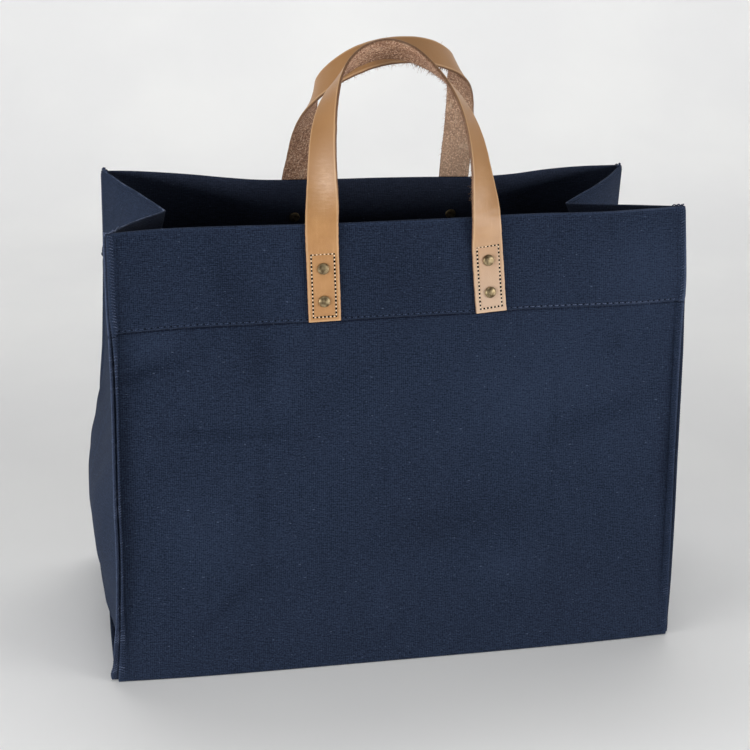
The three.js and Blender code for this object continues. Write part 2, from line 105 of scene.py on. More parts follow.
# How far the seam strip turns out of the panel: it lies flat at the hem and stands out lower down.
flangeRows = {
    "height": [0, 22, 60, 120, 190, 250, 284, 300, 362],
    "frontLeft": [0, 24, 74, 88, 90, 86, 62, 36, 28],
    "frontRight": [0, 18, 50, 62, 62, 55, 34, 14, 8],
    "backLeft": [0, 25, 70, 82, 82, 82, 82, 80, 78],
    "backRight": [0, 25, 70, 82, 82, 82, 80, 78, 76],
}
# Soft folds of the panels: place x and z, reach across and up, lean in degrees, push outward.
panelFolds = {
    "front": [
        (-200, 256, 30, 9, 25, -1.2), (-190, 274, 28, 8, 20, 1.0), (-102, 225, 10, 60, 0, -0.7),
        (-106, 120, 10, 45, 8, -0.6), (-135, 62, 8, 30, 55, -0.7), (-130, 195, 50, 8, 0, -0.5),
        (130, 235, 35, 25, 0, 0.8), (165, 205, 35, 9, 20, -0.8), (60, 100, 40, 12, 10, -0.7),
        (95, 75, 25, 18, 0, 0.7), (-15, 60, 8, 25, -15, 0.5), (150, 235, 6, 40, 0, -0.35),
        (195, 265, 7, 12, 0, -0.6), (-140, 330, 14, 30, 5, -0.7), (-165, 325, 14, 30, 0, 0.5),
        (15, 330, 50, 25, 0, -0.6), (205, 325, 25, 30, 0, 0.8),
    ],
    "back": [
        (-170, 240, 26, 10, -20, -1.1), (-120, 205, 10, 55, 5, -0.7), (40, 215, 60, 10, 4, -0.6),
        (120, 245, 30, 22, 0, 0.8), (165, 180, 34, 9, -22, -0.9), (-60, 95, 42, 12, -12, -0.7),
        (85, 70, 26, 16, 8, 0.7), (-150, 60, 9, 30, -40, -0.6), (190, 300, 16, 30, 0, -0.6),
        (0, 335, 46, 22, 0, -0.6),
    ],
}
folding = {  # strength and wave lengths of the ripple, strength of the folds, and where they fade out
    "seeds": {"front": 11, "back": 12}, "ripple": 0.38, "waves": (34, 150), "push": 1.45, "fromEdge": (4, 24),
    "fromFoot": (2, 16), "tabs": (-61, 69), "tabHalf": 21, "tabFoot": (276, 290),
}
# Painted shade in the panels' creases and painted light on their swells, darkening and lightening the cloth's
# colour: as above, with a tone in place of the push.
panelShading = {
    "front": [
        (-196, 255, 25, 5, 14, -1.0), (-193, 277, 18, 10, 10, 0.7), (-132, 315, 28, 13, -74, -0.5),
        (-112, 262, 30, 13, 90, -0.55), (-95, 233, 18, 8, 90, 0.5), (-143, 202, 55, 4, -5, -0.75),
        (-110, 137, 52, 3, 90, -0.4), (-138, 62, 32, 4, 41, -0.75), (-162, 117, 30, 38, 0, 0.35),
        (92, 228, 55, 38, 0, 0.5), (162, 196, 48, 11, 18, -0.6), (30, 114, 66, 17, 9, -0.42),
        (83, 74, 22, 14, 0, 0.6), (-18, 52, 18, 7, 90, 0.4), (124, 177, 85, 3, 90, -0.3),
        (147, 74, 28, 4, -43, -0.35), (198, 315, 34, 36, 0, 0.95), (174, 256, 8, 11, 0, -0.4),
        (-218, 165, 85, 9, 90, -0.7), (-2, 324, 40, 30, 0, -0.3), (222, 155, 40, 6, 90, -0.5),
        (150, 235, 95, 80, 0, 0.5),
    ],
    "back": [
        (-165, 244, 26, 6, -18, -0.8), (-118, 205, 48, 5, 94, -0.6), (40, 214, 55, 6, 4, -0.6),
        (118, 246, 32, 24, 0, 0.5), (165, 180, 36, 7, -22, -0.7), (-60, 95, 44, 9, -12, -0.6),
        (85, 70, 26, 16, 8, 0.5), (-150, 60, 30, 5, -48, -0.7), (190, 305, 24, 28, 0, 0.5),
        (60, 130, 60, 4, 86, -0.4), (-190, 300, 20, 30, 0, 0.4),
    ],
}
hem = {  # bells of thickness up the hem: most, middle above the hem line, reach
    "stepRun": 0.9, "bells": [(-0.4, 2.1, 0.9), (-0.65, -0.5, 0.7), (0.3, 5, 2.5), (0.2, 0.8, 0.5)],
    # dark: strength of the painted shadow line under the hem
    "rimThin": 0.6, "thinFrom": 358.5, "dark": 2.4,
}


def mix(first, second, share):
    return first + (second - first) * share


def ease(low, high, at):  # smooth step from 0 at low to 1 at high
    share = np.clip((at - low) / (high - low), 0, 1)
    return share * share * (3 - 2 * share)


def bell(at, middle, reach, power=2):  # 1 at the middle, falling to nothing on both sides
    return np.exp(-((at - middle) / reach) ** power)


def unitVector(vectors):
    return vectors / np.maximum(np.linalg.norm(vectors, axis=-1, keepdims=True), 1e-9)


def squareTo(axis, vectors):  # unit vectors of what is left when the part along the axis is taken off
    return unitVector(vectors - axis * (vectors * axis).sum(-1, keepdims=True))


def bundle(*arrays):  # arrays of fitting shapes side by side in a new last axis
    return np.stack(np.broadcast_arrays(*arrays), axis=-1)


def runAlong(line):  # length from the start of a line to each of its points
    return np.concatenate([[0], np.cumsum(np.linalg.norm(np.diff(line, axis=0), axis=1))])


def readAlong(run, values, at):  # values given along a line, read at other lengths
    return bundle(*(np.interp(at, run, column) for column in np.atleast_2d(values.T)))


def cubic(share, low, high, lowSlope, highSlope):  # smooth span with given ends and slopes
    square, cube = share ** 2, share ** 3
    level = (2 * cube - 3 * square + 1) * low + (3 * square - 2 * cube) * high
    return level + (cube - 2 * square + share) * lowSlope + (cube - square) * highSlope


def readColumn(table, column, at):  # smooth between the rows of the first column, straight beyond
    keys, values = np.array(next(iter(table.values())), float), np.array(table[column], float)
    row, most = np.arange(len(keys)), len(keys) - 1
    before, after = np.maximum(row - 1, 0), np.minimum(row + 1, most)
    slopes = (values[after] - values[before]) / (keys[after] - keys[before])
    at = np.asarray(at, float)
    inside = np.clip(at, keys[0], keys[-1])
    row = np.clip(np.searchsorted(keys, inside) - 1, 0, most - 1)
    span = keys[row + 1] - keys[row]
    share = (inside - keys[row]) / span
    line = cubic(share, values[row], values[row + 1], slopes[row] * span, slopes[row + 1] * span)
    return line + slopes[-1] * np.maximum(at - keys[-1], 0)


def ripple(first, second, seed, shortest, longest):  # sum of sine waves of seeded directions, about -1 to 1
    chance = np.random.default_rng(seed)
    total = 0
    for wave in range(7):
        length = mix(shortest, longest, (wave / 6) ** 1.5)
        turn, start = chance.uniform(0, math.pi), chance.uniform(0, fullTurn)
        total = total + np.sin((first * math.cos(turn) + second * math.sin(turn)) * fullTurn / length + start)
    return total / 4


def bells(rows, x, z):  # sum of bells: each row's last value times exp of minus its two squared distances
    total = 0
    for midX, midZ, reachAcross, reachUp, lean, most in rows:
        turn = math.radians(lean)
        along = (x - midX) * math.cos(turn) + (z - midZ) * math.sin(turn)
        over = (z - midZ) * math.cos(turn) - (x - midX) * math.sin(turn)
        total = total + most * bell(along, 0, reachAcross) * bell(over, 0, reachUp)
    return total


def foldPush(side, x, z):  # the panel's folds and a small ripple; none under the straps
    total = folding["ripple"] * ripple(x, z, folding["seeds"][side], *folding["waves"])
    total = total + folding["push"] * bells(panelFolds[side], x, z)
    for tabX in folding["tabs"]:
        total = total * (1 - bell(x, tabX, folding["tabHalf"], 4) * ease(*folding["tabFoot"], z))
    return total


def stripShift(side, onLeft, height):  # how far the inner line of a seam strip is moved
    if side == "front":
        return np.where(onLeft, mix(0.8, 2.6, ease(140, 250, height)), 3.6)
    left = mix(1.8 * ease(160, 215, height), 4.5, ease(280, 296, height))
    return np.where(onLeft, left, 3.6 * ease(172, 225, height))


def panelPoint(side, across, height):
    # Straight between its two seams, pushed in at the rim by dent times a power of height and sunk by dent
    # squared; the seam strip turns outward about its inner line, and soft folds push the cloth along y.
    across, height = np.broadcast_arrays(np.asarray(across, float), np.asarray(height, float))
    onLeft = across < 0.5
    below, above = bag["hemBlend"][side]
    reach = bag["hemReach"] * ease(hemLine - below, hemLine + above, height)
    leftX, leftY, rightX, rightY = (
        readColumn(seamRows, side + edge, height) for edge in ("LeftX", "LeftY", "RightX", "RightY")
    )
    leftX, rightX = leftX - reach, rightX + reach
    rise = np.maximum((height - bag["dentFrom"]) / (rim - bag["dentFrom"]), 0) ** bag["dentPower"]
    dent = readColumn(dentRows, side, np.clip(across, 0, 1)) * rise
    leftTurn, rightTurn = (readColumn(flangeRows, side + edge, height) for edge in ("Left", "Right"))
    turn = np.radians(np.where(onLeft, leftTurn, rightTurn))
    near = np.minimum(across, 1 - across) * (rightX - leftX)
    outside = 1 - near / flange
    shift = stripShift(side, onLeft, height) * np.sin(turn)
    tuck = (flange * (1 - np.cos(turn)) - shift) * np.minimum(near / flange, 1)
    tuck = tuck * np.exp(-np.maximum(near - flange, 0) / bag["tuckFade"])
    stand = flange * np.sin(turn) * (outside + np.sqrt(outside ** 2 + bag["standSoftness"])) / 2
    x = mix(leftX, rightX, across) + np.where(onLeft, -1, 1) * (tuck - np.maximum(outside, 0) * shift)
    push = foldPush(side, x, height) * ease(*folding["fromEdge"], near) * ease(*folding["fromFoot"], height)
    y = mix(leftY, rightY, across) + dent + outY[side] * (stand + push)
    middle = (1 - np.clip(2 * across - 1, -1, 1) ** 4) * (1 if side == "front" else 0)
    y = y - bag["footBow"] * middle * np.exp(-height / bag["bowFade"])
    sag = bag["rimSag"] * middle * ease(bag["sagFrom"], rim, height)
    return bundle(x, y, height - dent ** 2 / bag["dentSink"] - sag)


def panelOutward(side, across, height):  # square to two short steps on the panel
    alongX = panelPoint(side, across + 0.002, height) - panelPoint(side, across - 0.002, height)
    alongZ = panelPoint(side, across, height + 0.1) - panelPoint(side, across, height - 0.1)
    return unitVector(np.cross(alongX, alongZ)) * -outY[side]


def wallHeight(girth):  # height down the back panel and up the front one, by girth as in bodyPoint
    return mix(foldTop, rim, np.clip(np.where(girth < 1.5, 1 - girth, girth - 2), 0, 1))


def bodyPoint(across, girth):
    # 0 to 1 down the back panel, a quarter circle, the base, a quarter circle, 2 to 3 up the front panel.
    across, girth = np.broadcast_arrays(np.asarray(across, float), np.asarray(girth, float))
    radius, fold = bag["foldRadius"], bag["foldGirth"]
    backWall, frontWall = (panelPoint(side, across, wallHeight(girth)) for side in ("back", "front"))
    back, front = (panelPoint(side, across, foldTop) for side in ("back", "front"))
    middle = np.clip((girth - 1 - fold) / (1 - 2 * fold), 0, 1)
    swell = bag["baseSwell"] * (across * 2 - 1) * (1 - (2 * middle - 1) ** 2)
    turn = np.clip(np.minimum(girth - 1, 2 - girth) / fold, 0, 1) * math.pi / 2
    inset = radius * (1 - np.cos(turn))
    x = mix(back[..., 0], front[..., 0], middle) + swell
    y = mix(back[..., 1] - inset, front[..., 1] + inset, middle)
    base = bundle(x, y, foldTop - radius * np.sin(turn))
    wall = np.where((girth < 1.5)[..., None], backWall, frontWall)
    return np.where(((girth <= 1) | (girth >= 2))[..., None], wall, base)


def stripPoint(hand, side, share, height):  # gusset's strip behind the panel's, open at its raw edge
    width = panelPoint(side, 1, height)[..., 0] - panelPoint(side, 0, height)[..., 0]
    spare = bag["cornerReach"] * (1 - ease(28, 80, height)) + bag["cornerFlare"] * bell(height, 7, 6)
    spare = spare * (1 - share) * (1 if (side, hand) == ("front", "left") else 0.3)  # shows at the foot
    across = edgeShare[hand] - outX[hand] * (flange * share - spare) / width
    gape = bag["flangeOpen"] * (1 - share) ** 2 * ease(8, 80, height) * (1 - 0.8 * ease(262, 300, height))
    lay = cloth + layGap * 1.4 + gape * (1 if side == "front" else 0.2)
    return panelPoint(side, across, height) - panelOutward(side, across, height) * lay[..., None]


def gussetPoint(hand, place, height):
    # Place 0 is the middle crease, 1 the front seam, -1 the back seam, beyond 1 the seam strip. Inward it is
    # a V fold with a softened crease; outward it is the smaller of a flat bulge and a slope, blended softly.
    place, height = np.broadcast_arrays(np.asarray(place, float), np.asarray(height, float))
    distance, onFront = np.abs(place), place > 0
    stripShare = np.clip(1 - (distance - 1) / bag["stripPlaces"], 0, 1)
    front, back = (stripPoint(hand, side, np.ones_like(place), height) for side in sides)
    strip = np.where(onFront[..., None], *(stripPoint(hand, side, stripShare, height) for side in sides))
    corner = np.where(onFront[..., None], front, back)
    middleX, middleY = (readColumn(creaseRows, hand + axis, height) for axis in "XY")
    straightX = mix(front[..., 0], back[..., 0], (middleY - front[..., 1]) / (back[..., 1] - front[..., 1]))
    bulge = outX[hand] * (middleX - straightX)
    soft = np.hypot(distance, bag["creaseSoftness"]) - bag["creaseSoftness"] * (1 - distance)
    inward = np.minimum(bulge, 0) * (1 - soft)
    slope = np.maximum(bag["ridgeSlope"] * ease(0, bag["ridgeHeight"], height), np.maximum(bulge, 0))
    slope = slope * (1 - np.minimum(distance, 1) ** bag["bulgePower"])
    overlap = np.maximum(bag["ridgeSoftness"] - np.abs(bulge - slope), 0)
    outward = np.minimum(bulge, slope) - overlap ** 2 / bag["ridgeSoftness"] / 4
    outward = np.where(bulge > 0, np.maximum(outward, 0), 0)
    foldShare = np.maximum((height - bag["flatHeight"]) / (rim - bag["flatHeight"]), 0)
    drop = bag["tipDrop"] * foldShare ** bag["dropPower"] * (1 - soft)
    bow = np.where(onFront, *gussetBow[hand]) * 4 * distance * (1 - distance) * foldShare
    seed = 21 if hand == "left" else 22
    wave = bag["gussetWave"] * ripple(place * bag["gussetHalf"], height, seed, 30, 120)
    wave = wave * ease(0, 0.3, 1 - distance) * ease(4, 30, height)
    x = mix(straightX, corner[..., 0], distance) + outX[hand] * (inward + outward + bow + wave)
    y = mix(middleY, corner[..., 1], distance)
    z = mix(height, corner[..., 2], distance) - drop
    return np.where((distance > 1)[..., None], strip, bundle(x, y, z))


def rimThin(height):  # the rim is pressed thinner
    return hem["rimThin"] * ease(hem["thinFrom"], rim, height)


def hemOffset(height):  # outer face: half a cloth, one more above a rounded step, grooves and puffs
    up = height - hemLine
    step = cloth * np.sqrt(np.clip(up / hem["stepRun"], 0, 1))
    return cloth / 2 + step + sum(most * bell(up, *place) for most, *place in hem["bells"]) - rimThin(height)


def hemShadowPaint(height):  # painted shadow line under the turned hem, as a negative value that darkens the cloth
    return -hem["dark"] * bell(height - hemLine, -0.55, 0.6)


def gridQuads(rows, columns, start=0):
    corner = start + np.arange(rows - 1)[:, None] * columns + np.arange(columns - 1)[None, :]
    return bundle(corner, corner + 1, corner + columns + 1, corner + columns).reshape(-1, 4)


def arcLengths(points, axis):  # running length along one way of a grid, averaged over the other way
    steps = np.linalg.norm(np.diff(points, axis=axis), axis=-1).mean(axis=1 - axis)
    return np.concatenate([[0], np.cumsum(steps)])


def clothShell(mid, outer, wearAndShading):
    # Outer face = mid + normal x outer, inner face = mid - normal x half a cloth, and round the border a
    # half-round edge: centre + half thickness x sin + outward direction x bulge x cos, from face to face.
    rows, columns = mid.shape[:2]
    normal = unitVector(np.cross(np.gradient(mid, axis=1), np.gradient(mid, axis=0)))
    outerFace = (mid + normal * outer[..., None]).reshape(-1, 3)
    innerFace = (mid - normal * (cloth / 2)).reshape(-1, 3)
    index = np.arange(rows * columns).reshape(rows, columns)
    loop = np.concatenate([index[0, :-1], index[:-1, -1], index[-1, :0:-1], index[:0:-1, 0]])
    away = np.zeros_like(mid)
    away[0] += unitVector(mid[0] - mid[1])
    away[-1] += unitVector(mid[-1] - mid[-2])
    away[:, 0] += unitVector(mid[:, 0] - mid[:, 1])
    away[:, -1] += unitVector(mid[:, -1] - mid[:, -2])
    away = unitVector(away).reshape(-1, 3)[loop]
    top, low = outerFace[loop], innerFace[loop]
    centre, half = (top + low) / 2, (top - low) / 2
    bulge = np.linalg.norm(half, axis=1, keepdims=True) * 0.75
    count, ring = rows * columns, len(loop)
    rings = [centre + half * math.sin(turn) + away * bulge * math.cos(turn) for turn in (0.85, 0.0, -0.85)]
    levels = [loop, *(2 * count + level * ring + np.arange(ring) for level in range(3)), count + loop]
    caps = [bundle(a, b, np.roll(b, -1), np.roll(a, -1)) for a, b in zip(levels, levels[1:])]
    flat = bundle(arcLengths(mid, 1)[None, :], arcLengths(mid, 0)[:, None]).reshape(-1, 2)
    wornAndShaded = wearAndShading.ravel()
    edgeWornAndShaded = (wornAndShaded[loop] * share for share in (1, 0.9, 0.7))
    return {
        "points": np.concatenate([outerFace, innerFace, *rings]),
        "quads": np.concatenate([gridQuads(rows, columns), gridQuads(rows, columns, count)[:, ::-1], *caps]),
        "flat": np.concatenate([flat] * 2 + [flat[loop]] * 3),
        "marks": {
            "wearAndShading": np.concatenate([wornAndShaded, wornAndShaded * 0.5, *edgeWornAndShaded]),
            "inner": np.repeat([0, 1, 0, 0.2, 0.5], [count, count, ring, ring, ring]),
        },
    }


def tubeFaces(count, length, around):  # quads between the rings of each tube, fans at its ends
    index = np.arange(count * length * around).reshape(count, length, around)
    turned = np.roll(index, -1, 2)
    walls = bundle(index[:, :-1], turned[:, :-1], turned[:, 1:], index[:, 1:])
    lowPole, highPole = index.size + np.arange(2 * count).reshape(2, count, 1)
    lowFan = bundle(turned[:, 0], index[:, 0], lowPole, lowPole)
    highFan = bundle(index[:, -1], turned[:, -1], highPole, highPole)
    return np.concatenate([faces.reshape(-1, 4) for faces in (walls, lowFan, highFan)])


def threadTubes(paths, upward, radius, around=6):
    # A ring of points set square to each path: path + radius x (cos x sideways + sin x upward).
    count, length = paths.shape[:2]
    along = unitVector(np.gradient(paths, axis=1))
    sideways = unitVector(np.cross(along, np.broadcast_to(upward, paths.shape)))
    standing = np.cross(along, sideways)
    angle = np.arange(around) * fullTurn / around
    ring = sideways[:, :, None] * np.cos(angle)[:, None] + standing[:, :, None] * np.sin(angle)[:, None]
    points = paths[:, :, None] + ring * np.broadcast_to(radius, (count, length))[:, :, None, None]
    run = np.cumsum(np.linalg.norm(np.diff(paths, axis=1, prepend=paths[:, :1]), axis=-1), axis=1)
    flat = bundle(run[:, :, None], angle[None, None] * 0.3)
    return {
        "points": np.concatenate([points.reshape(-1, 3), paths[:, 0], paths[:, -1]]),
        "quads": tubeFaces(count, length, around),
        "flat": np.concatenate([flat.reshape(-1, 2), flat[:, 0, 0], flat[:, -1, 0]]), "marks": {},
    }


def stitchTubes(starts, ends, upward, radius, bow):  # short threads that dip at their ends
    share = np.linspace(0, 1, 7)[None, :, None]
    arch = bow * (1 - (2 * share - 1) ** 4) - radius * 0.6
    paths = mix(starts[:, None], ends[:, None], share) + upward[:, None] * arch
    thick = radius * (1 - 0.55 * np.abs(2 * share[..., 0] - 1) ** 5)
    return threadTubes(paths, upward[:, None], thick)


def joined(parts):
    offsets = np.cumsum([0] + [len(part["points"]) for part in parts[:-1]])
    names = parts[0]["marks"].keys()
    return {
        "points": np.concatenate([part["points"] for part in parts]),
        "quads": np.concatenate([part["quads"] + offset for part, offset in zip(parts, offsets)]),
        "flat": np.concatenate([part["flat"] for part in parts]),
        "marks": {name: np.concatenate([part["marks"][name] for part in parts]) for name in names},
    }


def makePiece(name, part, material, replaced=()):  # a quad with a doubled last corner is a triangle
    quads = part["quads"]
    isTriangle = quads[:, 2] == quads[:, 3]
    whole, thirds = quads[~isTriangle], quads[isTriangle][:, :3]
    corners = np.concatenate([whole.ravel(), thirds.ravel()]).astype(np.int32)
    starts = np.concatenate([np.arange(len(whole)) * 4, len(whole) * 4 + np.arange(len(thirds)) * 3])
    clothMap = (part["flat"] * unit)[corners].astype(np.float32)
    mesh = bpy.data.meshes.new(name)
    mesh.vertices.add(len(part["points"]))
    mesh.vertices.foreach_set("co", (part["points"] * unit).astype(np.float32).ravel())
    mesh.loops.add(len(corners))
    mesh.loops.foreach_set("vertex_index", corners)
    mesh.polygons.add(len(starts))
    mesh.polygons.foreach_set("loop_start", starts.astype(np.int32))
    mesh.update(calc_edges=True)
    mesh.uv_layers.new(name="clothMap").data.foreach_set("uv", clothMap.ravel())
    for mark, values in part["marks"].items():
        mesh.attributes.new(mark, "FLOAT", "POINT").data.foreach_set("value", values.astype(np.float32))
    mesh.validate()
    mesh.shade_smooth()
    mesh.materials.append(material)
    piece = bpy.data.objects.new(name, mesh)
    bpy.context.scene.collection.objects.link(piece)
    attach(piece, "root")
    if replaced:
        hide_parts(*replaced)
    return piece


class Sock:  # one shader socket; arithmetic on it adds Math nodes
    def __init__(self, tree, socket):
        self.tree, self.socket = tree, socket

    def node(self, kind, settings=None, values=None, out=0):
        made = self.tree.nodes.new(kind)
        for name, value in (settings or {}).items():
            setattr(made, name, value)
        for name, value in (values or {}).items():
            if isinstance(value, Sock):
                self.tree.links.new(value.socket, made.inputs[name])
            else:
                made.inputs[name].default_value = value
        return Sock(self.tree, made.outputs[out])

    def out(self, which):
        return Sock(self.tree, self.socket.node.outputs[which])

    def math(self, operation, *others):
        return self.node("ShaderNodeMath", {"operation": operation}, dict(enumerate((self, *others))))

    def __add__(self, other):
        return self.math("ADD", other)

    __radd__ = __add__

    def __sub__(self, other):
        return self.math("SUBTRACT", other)

    def __rsub__(self, other):
        return self.node("ShaderNodeMath", {"operation": "SUBTRACT"}, {0: other, 1: self})

    def __mul__(self, other):
        return self.math("MULTIPLY", other)

    def __truediv__(self, other):
        return self.math("DIVIDE", other)

    def between(self, low, high):  # smooth step from 0 at low to 1 at high
        values = {"Value": self, "From Min": low, "From Max": high}
        return self.node("ShaderNodeMapRange", {"interpolation_type": "SMOOTHSTEP"}, values)

    def scaled(self, *factors):
        return self.node("ShaderNodeVectorMath", {"operation": "MULTIPLY"}, {0: self, 1: factors})

    def noise(self, scale, detail, rough=0.5):
        values = {"Vector": self, "Scale": scale, "Detail": detail, "Roughness": rough}
        return self.node("ShaderNodeTexNoise", None, values)

    def cells(self, feature, scale):
        return self.node("ShaderNodeTexVoronoi", {"feature": feature}, {"Vector": self, "Scale": scale})

    def mark(self, name):  # value of a point attribute
        return self.node("ShaderNodeAttribute", {"attribute_name": name}, None, 2)

    def blend(self, first, second):  # colour mix with this socket as the factor
        return self.node("ShaderNodeMix", {"data_type": "RGBA"}, {0: self, 6: first, 7: second}, 2)

    def under(self, look, *layers):  # this colour below layers, each a factor and the name of its colour
        color = self
        for factor, name in layers:
            color = factor.blend(color, look[name])
        return color

    def bump(self, strength, distance):  # normal with this socket as the height
        return self.node("ShaderNodeBump", None, {"Strength": strength, "Distance": distance, "Height": self})


def tint(red, green, blue):  # colour from 0 to 255 as shown, turned to linear values
    shown = np.array([red, green, blue]) / 255
    linear = np.where(shown <= 0.04045, shown / 12.92, ((shown + 0.055) / 1.055) ** 2.4)
    return (*linear.tolist(), 1.0)


def newMaterial(name, constants):
    material = bpy.data.materials.new(name)
    material.use_nodes = True
    surface = material.node_tree.nodes["Principled BSDF"]
    for socket, value in constants.items():
        surface.inputs[socket].default_value = value
    place = Sock(material.node_tree, surface.outputs[0]).node("ShaderNodeUVMap", {"uv_map": "clothMap"})
    return material, surface, place


def feed(surface, **links):
    names = {"color": "Base Color", "rough": "Roughness", "normal": "Normal", "coat": "Coat Weight"}
    for key, source in links.items():
        source.tree.links.new(source.socket, surface.inputs[names[key]])


# Canvas: plain weave from two crossed sine waves, uneven threads, lint, worn edges, and painted shade and
# painted highlights carried in the cloth's marks.
canvasLook = {
    "warpPitch": 0.0016, "weftPitch": 0.00135, "deep": tint(14, 22, 38), "pale": tint(43, 55, 77),
    "lint": tint(92, 104, 128), "rubbed": tint(108, 119, 146), "inner": tint(74, 78, 94), "bump": 0.00025,
}


def canvasMaterial():
    constants = {"Specular IOR Level": 0.12, "Sheen Weight": 0.015, "Sheen Roughness": 0.5}
    material, surface, place = newMaterial("navy canvas", constants)
    wobble = place.noise(190, 2) - 0.5
    axes = place.node("ShaderNodeSeparateXYZ", None, {0: place})
    warp = axes / canvasLook["warpPitch"] + wobble * 0.5
    weft = axes.out(1) / canvasLook["weftPitch"] + wobble * 0.6
    waveWarp, waveWeft = (warp * math.pi).math("SINE"), (weft * math.pi).math("SINE")
    over = waveWarp * waveWeft
    threads = waveWarp.math("ABSOLUTE") * (0.5 + over * 0.5)
    threads = threads.math("MAXIMUM", waveWeft.math("ABSOLUTE") * (0.5 - over * 0.5))
    slub = place.scaled(120, 740, 1).noise(1.0, 2)  # longer along the weft, one thread high
    spots = place.scaled(600, 900, 1).noise(1.0, 1)  # single raised or sunk crossings
    patches = place.noise(16, 4, 0.55)
    lint = place.scaled(260, 700, 1).noise(1.0, 1, 0.4).between(0.72, 0.8)
    # The cloth's marks lighten and darken the colour: worn places, and also painted shade and painted
    # highlights.
    wearAndShading, inner = place.mark("wearAndShading"), place.mark("inner")
    uneven = (slub - 0.5) * 0.85 + (spots - 0.5) * 1.6 + (patches - 0.5) * 0.25
    light = threads * 0.6 + uneven + 0.12 + wearAndShading * 0.3
    color = light.between(-0.15, 1.15).blend(canvasLook["deep"], canvasLook["pale"])
    color = color.under(
        canvasLook, (inner * (0.1 + slub * 0.22), "inner"), (lint * 0.5, "lint"),
        # The palest marks take a pale colour: worn cloth, and painted highlights on the rim and the raw
        # edges.
        (wearAndShading.between(0.9, 1.9) * (0.55 + slub * 0.6), "rubbed"),
    )
    relief = threads + (slub - 0.5) * 0.8 + (spots - 0.5) * 0.8
    feed(surface, color=color, normal=relief.bump(0.75, canvasLook["bump"]), rough=0.97 - threads * 0.12)
    return material


def threadMaterial(name, dark, pale, twist=0.0009):  # twisted yarn: slanting bands along the thread
    material, surface, place = newMaterial(name, {"Specular IOR Level": 0.15})
    axes = place.node("ShaderNodeSeparateXYZ", None, {0: place})
    bands = ((axes / twist + axes.out(1) / 0.0006) * math.pi).math("SINE") * 0.5 + 0.5
    color = (bands * 0.7 + (place.noise(900, 2) - 0.5) * 0.8 + 0.15).between(0, 1).blend(dark, pale)
    # Paler where marked: worn thread, and painted highlights on thread that catches the light.
    color = (place.mark("rubbed") * (0.2 + bands * 0.5)).blend(color, canvasLook["rubbed"])
    feed(surface, color=color, normal=bands.bump(0.6, 0.0001), rough=0.85 - bands * 0.15)
    return material


# Leather: smooth grain face with pores, rough flesh face with fibres, dark burnished edge; painted highlights
# along the grain edges, at the left leg's bend and on the right-hand end, and a darker colour over the arch.
leatherLook = {
    "grain": tint(185, 138, 89), "grainDark": tint(170, 123, 76), "grainPale": tint(200, 158, 112),
    # The pale colours for the right-hand end and for the bend are painted highlights; the darker colour is
    # laid over the arch.
    "paleEndHighlight": tint(200, 173, 150), "darkerArch": tint(158, 115, 72), "bendCreasesAndHighlight": tint(226, 192, 160),
    "flesh": tint(198, 155, 124), "fleshDark": tint(112, 75, 56), "fleshPale": tint(240, 210, 182),
    "edge": tint(84, 55, 37), "bevelHighlightAndPaleHair": tint(226, 190, 148), "bump": 0.00022,
}
leatherMarks = ("flesh", "edge", "bevelHighlightAndPaleHair", "paleEndHighlight", "darkerArch", "bendCreasesAndHighlight")


def leatherMaterial():
    look = leatherLook
    constants = {"Specular IOR Level": 0.42, "Coat Roughness": 0.35}
    material, surface, place = newMaterial("tan leather", constants)
    flesh, edge, bevelHighlightAndPaleHair, paleEndHighlight, darkerArch, bendCreasesAndHighlight = (place.mark(name) for name in leatherMarks)
    clouds = place.noise(38, 4, 0.6)
    streaks = place.scaled(420, 60, 1).noise(1.0, 3, 0.6)
    pores, wrinkles = place.cells("F1", 1500.0), place.cells("DISTANCE_TO_EDGE", 900.0)
    creases = place.scaled(130, 480, 1).noise(1.0, 3, 0.55)  # short wrinkles across a sharp bend
    grain = clouds.between(0.3, 0.72).blend(look["grainDark"], look["grain"]).under(
        look, (streaks.between(0.5, 0.8) * 0.4, "grainPale"), (paleEndHighlight * 0.85, "paleEndHighlight"),
        # The bend is painted paler: a painted highlight over its creases.
        (darkerArch * 0.8, "darkerArch"), (bendCreasesAndHighlight * (0.2 + creases.between(0.4, 0.7) * 0.2), "bendCreasesAndHighlight"),
        ((1 - pores.between(0.05, 0.3)) * 0.3, "grainDark"),
    )
    fibres = place.scaled(900, 240, 1).noise(1.0, 4, 0.7)
    nap = place.noise(600, 5, 0.75)
    scuffs = place.scaled(1, 0.6, 1).noise(95, 3, 0.65)
    nappy = (fibres * 0.6 + nap * 0.5).between(0.43, 0.68).blend(look["fleshDark"], look["flesh"]).under(
        look, (nap.between(0.52, 0.64), "fleshPale"), (scuffs.between(0.46, 0.32) * 0.55, "fleshDark"),
        (scuffs.between(0.57, 0.71) * 0.4 + paleEndHighlight * 0.3, "fleshPale"),
    )
    burnish = edge * (0.75 + (fibres - 0.5) * 0.8)
    # The pale band along the grain edges is a painted highlight; the pale fibres use the same colour.
    color = flesh.blend(grain, nappy).under(look, (bevelHighlightAndPaleHair * 0.32, "bevelHighlightAndPaleHair"), (burnish, "edge"))
    smoothRelief = wrinkles.between(0.0, 0.18) * 0.35 + pores * 0.4 + clouds * 0.8 + bendCreasesAndHighlight * creases * 2.2
    relief = smoothRelief * (1 - flesh) + (fibres * 1.4 + nap * 1.6) * flesh
    dull = 0.38 + clouds * 0.12 + flesh * 0.42 + edge * 0.1 - bendCreasesAndHighlight * 0.08
    feed(surface, color=color, normal=relief.bump(0.5, look["bump"]), rough=dull, coat=(1 - flesh) * 0.12)
    return material


